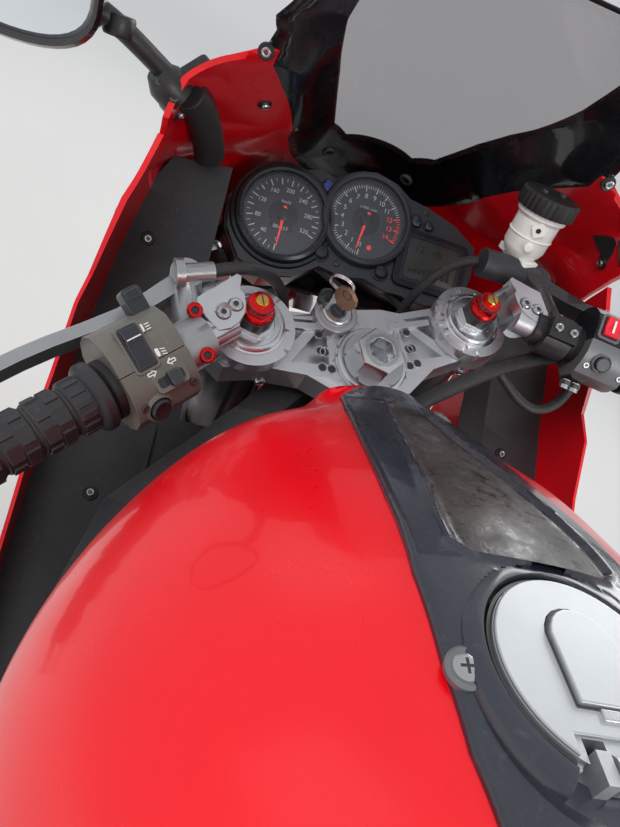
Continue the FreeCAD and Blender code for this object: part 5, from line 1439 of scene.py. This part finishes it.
def make_calipers():
    b = Build("caliper_details", FRONT, "steering")
    for side in SIDES:
        for angle in (139, 162):
            place = beside_wheel(142, angle, side * 97, (0, side, 0))
            b.lathe([(19, -2), (19, 3), (16, 6), (9, 6.4), (8, 5)], CALIPER, place, 36)
            b.hexagon(5.4, 4, 8, STEEL, place)
        for angle, reach in ((133, 172), (169, 172), (151, 120)):
            b.bolt(beside_wheel(reach, angle, side * 97, (0, side, 0)), 6.5, STEEL)
        b.lathe([(3.5, -4), (3.5, 6), (2.2, 8), (2.2, 14), (3.2, 15), (3.2, 19)], RUBBER,
                beside_wheel(158, 131, side * 80, (0.75, 0, 0.65)), 16)
    b.done(bevel=0.6)
    b = Build("rear_caliper_details", REAR, "chassis")
    for angle in (208, 232):
        place = beside_wheel(94, angle, -118, (0, -1, 0))
        b.lathe([(15, -2), (15, 2.5), (12, 5), (6, 5)], CALIPER, place, 32)
        b.hexagon(4.6, 4, 7, STEEL, place)
    b.done(bevel=0.5)


# Exhaust, radiator, lamps and rests
BAND_RIVETS = 14
CORE_LOW = 437
CORE_HEIGHT = 246
CORE_ROWS = 28
LENS_BACK = 1398


def make_exhaust_details():
    b = Build("exhaust_details", BIKE, "chassis")
    low, end = Vector((226, -221, 346)), Vector((-205, -224, 560))
    place = placed(low, end - low)
    length = (end - low).length
    for start, width in ((4, 16), (length - 22, 20)):
        band = [(54, start), (55.6, start + 1), (55.6, start + width - 1), (54, start + width)]
        b.lathe(band, DARK_STEEL, place, 72)
        for k in range(BAND_RIVETS):
            rivet = place @ spun(360 * k / BAND_RIVETS) @ placed((55.4, 0, start + width / 2), (1, 0, 0))
            b.lathe([(2.4, -1), (2.4, 0.6), (1.4, 1.4)], STEEL, rivet, 12)
    b.lathe([(54.2, 178), (56.4, 180), (56.4, 206), (54.2, 208)], RUBBER, place, 72)
    b.lathe([(56.2, 183), (57.6, 184), (57.6, 202), (56.2, 203)], STEEL, place, 72)
    b.lathe([(29.5, 0), (33, 1), (33, 22), (30, 24), (26, 24), (25, 0)], DARK_STEEL, place @ at(0, 0, length),
            60, closed=True)
    for y in (-135, -47, 47, 135):
        top = placed((991, y, 537), (0.26, 0, -0.97))
        b.lathe([(20, -6), (27, -5), (27, 4), (24, 7), (20, 8)], DARK_STEEL, top, 36)
        for side in SIDES:
            b.hexagon(5.5, -5, 9, STEEL, top @ at(0, side * 24))
    b.done(bevel=0.4)


def make_radiator_core():
    b = Build("radiator_core", BIKE, "chassis")
    index = b.slot(FIN_ALLOY)
    for row in range(CORE_ROWS):
        fin_low, fin_top, tube_top = (CORE_LOW + CORE_HEIGHT * (row + share) / CORE_ROWS
                                      for share in (0, 0.72, 1))
        b.box((1081, -180, fin_top), (1086.5, 180, tube_top), DARK_STEEL)
        line = []
        for k in range(121):
            x = 1085.5 if k % 2 else 1082.2
            line.append([b.mesh.verts.new((x, -180 + 3 * k, z)) for z in (fin_low, fin_top)])
        for first, second in zip(line, line[1:]):
            b.mesh.faces.new((first[0], second[0], second[1], first[1])).material_index = index
    b.lathe([(24, -12), (24, 16), (27, 16), (27, 24), (20, 26)], DARK_STEEL, at(1068, -150, 690), 36)
    b.done()


def make_headlight():
    mesh = cad_mesh("headlight")
    for face in mesh.faces:
        centre = BIKE_BACK @ face.calc_center_median()
        normal = way_back(face.normal)
        outward = normal.x * 0.8 + normal.y * copysign(0.6, centre.y)
        is_lens = outward > 0.35 and abs(normal.z) < 0.7 and centre.x > LENS_BACK
        face.material_index = 0 if is_lens else 1
    finished("headlight_lens", mesh_data("headlight_lens", mesh, [GLASS, CHROME]), angle=30,
             replaces=["headlight"])
    b = Build("headlight_reflectors", BIKE, "chassis")
    for y in (56, -56):
        place = placed((1408, y, 774), (1, copysign(0.12, y), 0.02))
        bowl = [(5 + 26 * sqrt(h / 46), h) for h in range(0, 47, 4)]
        b.lathe(bowl + [(r + 1.2, h - 0.5) for r, h in reversed(bowl)], CHROME, place, 48, closed=True)
        b.lathe([(2.6, 2), (4.4, 6), (4.4, 26), (2, 29)], GLASS, place, 20)
        b.lathe([(33, 44), (36, 47), (33, 49), (31, 46)], BLACK_PLASTIC, place, 48, closed=True)
    b.lathe([(4, -4), (4, 16), (2, 19)], GLASS, placed((1450, 0, 762), (1, 0, 0)), 16)
    b.done()


def make_tail_details():
    b = Build("indicators", BIKE, "chassis")
    for side in SIDES:
        place = placed((-286, side * 118, 800), (0, side, 0)) @ Matrix.Scale(0.8, 4, (1, 0, 0))
        b.lathe([(15.4, -6), (21, 2), (24, 14), (24, 30)], BLACK_PLASTIC, place)
        b.lathe([(23, 28), (23.4, 36), (20, 44), (12, 49), (3, 51)], AMBER, place)
        for k in range(5):
            z = 29.5 + 3.2 * k
            b.lathe([(22.4, z), (24.2 - 0.35 * k * k, z + 0.9), (22, z + 1.9)], AMBER, place)
    b.lathe([(15, -1), (15, 3), (13, 4.5), (3, 5)], TAIL_RED, placed((-362, 0, 624), (-1, 0, 0)), 36)
    for y in (-60, 60):
        b.bolt(placed((-362, y, 690), (-1, 0, 0)), 4.5, STEEL)
    b.done(bevel=0.5)
    b = Build("rest_rubbers", BIKE, "chassis")
    for side in SIDES:
        profile = [(10, -1)]
        for z in range(0, 72, 8):
            profile += [(13, z), (13, z + 5), (11.4, z + 6), (11.4, z + 7)]
        rest = placed((413, side * 212, 332), (-8, side * 75, 0))
        b.lathe(profile + [(13, 73), (12, 77), (4, 78)], RUBBER, rest, 28)
    b.lathe([(7, 0), (10, 1), (10, 8), (9, 9), (10, 10), (10, 18), (9, 19), (10, 20), (10, 32), (6, 35)],
            RUBBER, placed((600, 213, 300), (4, 34, 0)), 24)
    b.done(bevel=0.4)


# Side panels: fasteners and the mesh in the vents
OUTSIDE = 420
PANEL_SCREWS = {
    "side_fairing_left": [(790, 600), (730, 470), (760, 345), (960, 330), (1080, 330), (1180, 700),
                          (1300, 690), (1210, 900), (1010, 715)],
    "lower_cowl": [(660, 270), (860, 280), (1060, 270), (700, 160), (960, 150)],
    "tail_cowl": [(560, 720), (260, 770), (40, 838)],
}


def make_side_screws():
    b = Build("panel_screws", BIKE, "chassis")
    for name, spots in PANEL_SCREWS.items():
        for x, z in spots:
            for side, end in ((1, "left"), (-1, "right")):
                tree = tree_of(name.replace("left", end))
                start = BIKE @ Vector((x, side * OUTSIDE, z))
                found, normal, _, _ = tree.ray_cast(start, bike_way(0, -side, 0))
                if found is None:
                    continue
                normal = way_back(normal)
                if normal.y * side < 0:
                    normal.negate()
                place = placed(BIKE_BACK @ found, normal)
                b.lathe([(8.2, -1), (8.2, 0.7), (7, 1.3)], BLACK_PLASTIC, place, 28)
                b.bolt(place @ at(0, 0, 0.8), 5.2, STEEL, 2.4)
    b.done(bevel=0.2)


def make_vent_mesh():
    b = Build("vent_mesh", BIKE, "chassis")
    for side in SIDES:
        for k in range(17):
            x, z = 896 + 8.5 * k, 462 + 8.5 * k
            b.box((x, side * 196, 462), (x + 1.6, side * 197.6, 600), DARK_STEEL)
            b.box((896, side * 197.6, z), (1040, side * 199.2, z + 1.6), DARK_STEEL)
    b.done()


# Seats


PAD_VOXEL = 6.0
PAD_SHRINK = 3.0
PAD_STEPS = 20
ABOVE_SEAT = 1100


def swell(made, start, cap):
    """A short cloth simulation under pressure, each point held within cap millimetres of its start."""
    cloth = made.modifiers.new("swell", "CLOTH")
    cloth.settings.use_pressure = True
    cloth.settings.uniform_pressure_force = 4.0
    cloth.settings.effector_weights.gravity = 0.0
    cloth.point_cache.frame_start = 1
    cloth.point_cache.frame_end = PAD_STEPS
    for step in range(1, PAD_STEPS + 1):
        bpy.context.scene.frame_set(step)
    swollen = applied(made)
    made.modifiers.clear()
    for vert, place, first in zip(made.data.vertices, swollen.vertices, start):
        move = place.co - first
        if move.length > cap * MM:
            move *= cap * MM / move.length
        vert.co = first + move
    bpy.context.scene.frame_set(1)


def add_seams(name, tree, seams):
    """Piped seams on the pad, with stitches beside them."""
    b = Build(name, BIKE, "chassis")
    for seam in seams:
        line = []
        for point in smooth_path([(x, y, 0) for x, y in seam], 10):
            spot, _, _, _ = tree.ray_cast(BIKE @ Vector((point.x, point.y, ABOVE_SEAT)), DOWN)
            if spot is not None:
                line.append(BIKE_BACK @ spot + Vector((0, 0, 0.4)))
        if len(line) > 3:
            b.tube(line, 1.5, SEAT, 8, 1)
            for first, second in zip(line, line[1:]):
                middle = (first + second) / 2 + Vector((0, 0, 1.4))
                way = (second - first).normalized() * 2.4
                middle += way.cross(Vector((0, 0, 1))).normalized() * 3.4
                b.rod(middle - way, middle + way, 0.55, STITCH, 8)
    b.done()


def make_seat(name, node_name, cap, seams):
    """A pad swollen from the seat's solid, with its seams."""
    mesh = cad_mesh(node_name)
    bmesh.ops.recalc_face_normals(mesh, faces=mesh.faces)
    made = shown(name, mesh_data(name, mesh, [SEAT]))
    shell = made.modifiers.new("voxels", "REMESH")
    shell.mode = "VOXEL"
    shell.voxel_size = PAD_VOXEL * MM
    made.data = applied(made)
    made.modifiers.clear()
    mesh = bmesh.new()
    mesh.from_mesh(made.data)
    for _ in range(3):
        bmesh.ops.smooth_vert(mesh, verts=mesh.verts, factor=0.5, use_axis_x=True, use_axis_y=True,
                              use_axis_z=True)
    mesh.normal_update()
    for vert in mesh.verts:
        vert.co -= vert.normal * PAD_SHRINK * MM
    start = [vert.co.copy() for vert in mesh.verts]
    mesh.to_mesh(made.data)
    mesh.free()
    swell(made, start, cap)
    made.modifiers.new("relax", "SMOOTH").iterations = 4
    fine = made.modifiers.new("fine", "SUBSURF")
    fine.levels = 1
    fine.render_levels = 1
    made.data = applied(made)
    made.modifiers.clear()
    made.data.materials.clear()
    made.data.materials.append(SEAT)
    made.data.shade_smooth()
    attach(made, "chassis")
    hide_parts(node_name)
    add_seams(name + "_seams", tree_from(made.data), seams)


RIDER_SEAMS = [[(640, y), (560, y * 1.1), (460, y * 1.35), (370, y * 1.4), (300, y * 1.2)] for y in (70, -70)]
RIDER_SEAMS += [[(352, -106), (346, -50), (344, 0), (346, 50), (352, 106)]]
PILLION_SEAMS = [[(200, y), (120, y * 0.95), (20, y * 0.8), (-60, y * 0.62)] for y in (60, -60)]


# Camera, floor and light
AIM = Vector((1014.55, 62.5, 900.0))
ROLL = -0.44
FOCAL_PIXELS = 623.0
PHOTO_HEIGHT = 827.0
SENSOR = 36.0
FLOOR_SIZE = 24
LAMP_TARGET = Vector((0.3, 0, 0.8))


def make_camera():
    look = (AIM - RIDER_EYE).normalized()
    right = look.cross(Vector((0, 0, 1))).normalized()
    down = look.cross(right)
    tilted_right = right * cos(ROLL) + down * sin(ROLL)
    tilted_down = down * cos(ROLL) - right * sin(ROLL)
    data = bpy.data.cameras.new("camera")
    data.sensor_width = SENSOR
    data.lens = FOCAL_PIXELS / PHOTO_HEIGHT * SENSOR
    data.clip_start = 0.02
    camera = shown("camera", data)
    ways = [bike_way(*way) for way in (tilted_right, -tilted_down, -look)]
    camera.matrix_world = Matrix.Translation(BIKE @ RIDER_EYE) @ turned(*ways)
    bpy.context.scene.camera = camera


def make_lamp(name, place, size, power, glossy):
    data = bpy.data.lights.new(name, "AREA")
    data.shape = "RECTANGLE"
    data.size, data.size_y = size
    data.energy = power
    lamp = shown(name, data)
    lamp.location = place
    lamp.visible_glossy = glossy
    lamp.rotation_euler = (LAMP_TARGET - Vector(place)).to_track_quat("-Z", "Y").to_euler()


BACKDROP = (0.60, 0.61, 0.63, 1)


def pale_where_seen(tree, shader, out, near=None, far=None):
    """Lets eye, mirror and glass rays see the pale backdrop in the shader's place, from near to far off."""
    rays = node(tree, "ShaderNodeLightPath").outputs
    share = calculated(tree, "MAXIMUM", rays["Is Camera Ray"], rays["Is Glossy Ray"])
    share = calculated(tree, "MAXIMUM", share, rays["Is Transmission Ray"])
    if far:
        length = node(tree, "ShaderNodeVectorMath", operation="LENGTH")
        link(tree, node(tree, "ShaderNodeTexCoord").outputs["Object"], length.inputs[0])
        fade = node(tree, "ShaderNodeMapRange", interpolation_type="SMOOTHSTEP", From_Min=near, From_Max=far)
        link(tree, length.outputs["Value"], fade.inputs["Value"])
        share = calculated(tree, "MULTIPLY", share, fade.outputs["Result"])
    glow = node(tree, "ShaderNodeEmission", Color=BACKDROP)
    mix = node(tree, "ShaderNodeMixShader")
    link(tree, share, mix.inputs[0])
    link(tree, shader, mix.inputs[1])
    link(tree, glow.outputs[0], mix.inputs[2])
    link(tree, mix.outputs[0], out)


def make_stage():
    bpy.ops.mesh.primitive_plane_add(size=FLOOR_SIZE)
    floor = bpy.context.object
    floor.name = "floor"
    finish = surface("floor_pale", (0.62, 0.61, 0.59), 0.8, mottle=0.03, mottle_size=0.9, rough_spread=0.05)
    floor.data.materials.append(finish)
    tree = finish.node_tree
    out = tree.nodes["Material Output"].inputs["Surface"]
    pale_where_seen(tree, out.links[0].from_socket, out, near=1.8, far=6.0)
    world = bpy.data.worlds.new("world")
    bpy.context.scene.world = world
    world.use_nodes = True
    tree = world.node_tree
    set_inputs(tree.nodes["Background"], Color=(0.80, 0.84, 0.90, 1), Strength=0.55)
    pale_where_seen(tree, tree.nodes["Background"].outputs[0], tree.nodes["World Output"].inputs["Surface"])
    bpy.context.scene.view_settings.view_transform = "Standard"


# name, place, size, power and whether mirrors show it
LAMPS = (("key", (-1.2, 2.2, 3.6), (2.4, 2.0), 120, False),
         ("front", (3.4, 1.2, 2.6), (1.6, 1.6), 40, False),
         ("fill", (2.8, -2.4, 2.4), (2.4, 1.6), 50, True),
         ("back", (-2.8, -1.6, 2.0), (1.6, 1.6), 36, True))

make_camera()
make_stage()
for lamp in LAMPS:
    make_lamp(*lamp)

make_cords()
make_left_switch()
make_right_switch()
make_grip("left_grip", LEFT_BAR, "grip_left")
make_grip("right_grip", RIGHT_BAR, "grip_right")
make_reservoir()
make_perch_cover()
make_steering_head()
make_keys()
make_dial_glasses()
make_instruments()
make_screen()
make_screen_screws()
make_tank_panel()
make_fuel_lid()
make_liners()
make_cockpit_screws()
make_mirrors()
make_smooth_panels()
make_mirror_boots()
make_tyre("front_tyre_tread", "front_tyre", FRONT, "front_wheel", radius=300, half=60, bead=44, pitches=34)
make_tyre("rear_tyre_tread", "rear_tyre", REAR, "rear_wheel", radius=315, half=90, bead=70, pitches=36)
make_brake_discs()
make_sprocket()
make_chain()
make_wheel_details()
make_calipers()
make_exhaust_details()
make_radiator_core()
make_headlight()
make_tail_details()
make_side_screws()
make_vent_mesh()
make_seat("rider_seat_pad", "rider_seat", 7.0, RIDER_SEAMS)
make_seat("pillion_seat_pad", "pillion_seat", 6.0, PILLION_SEAMS)
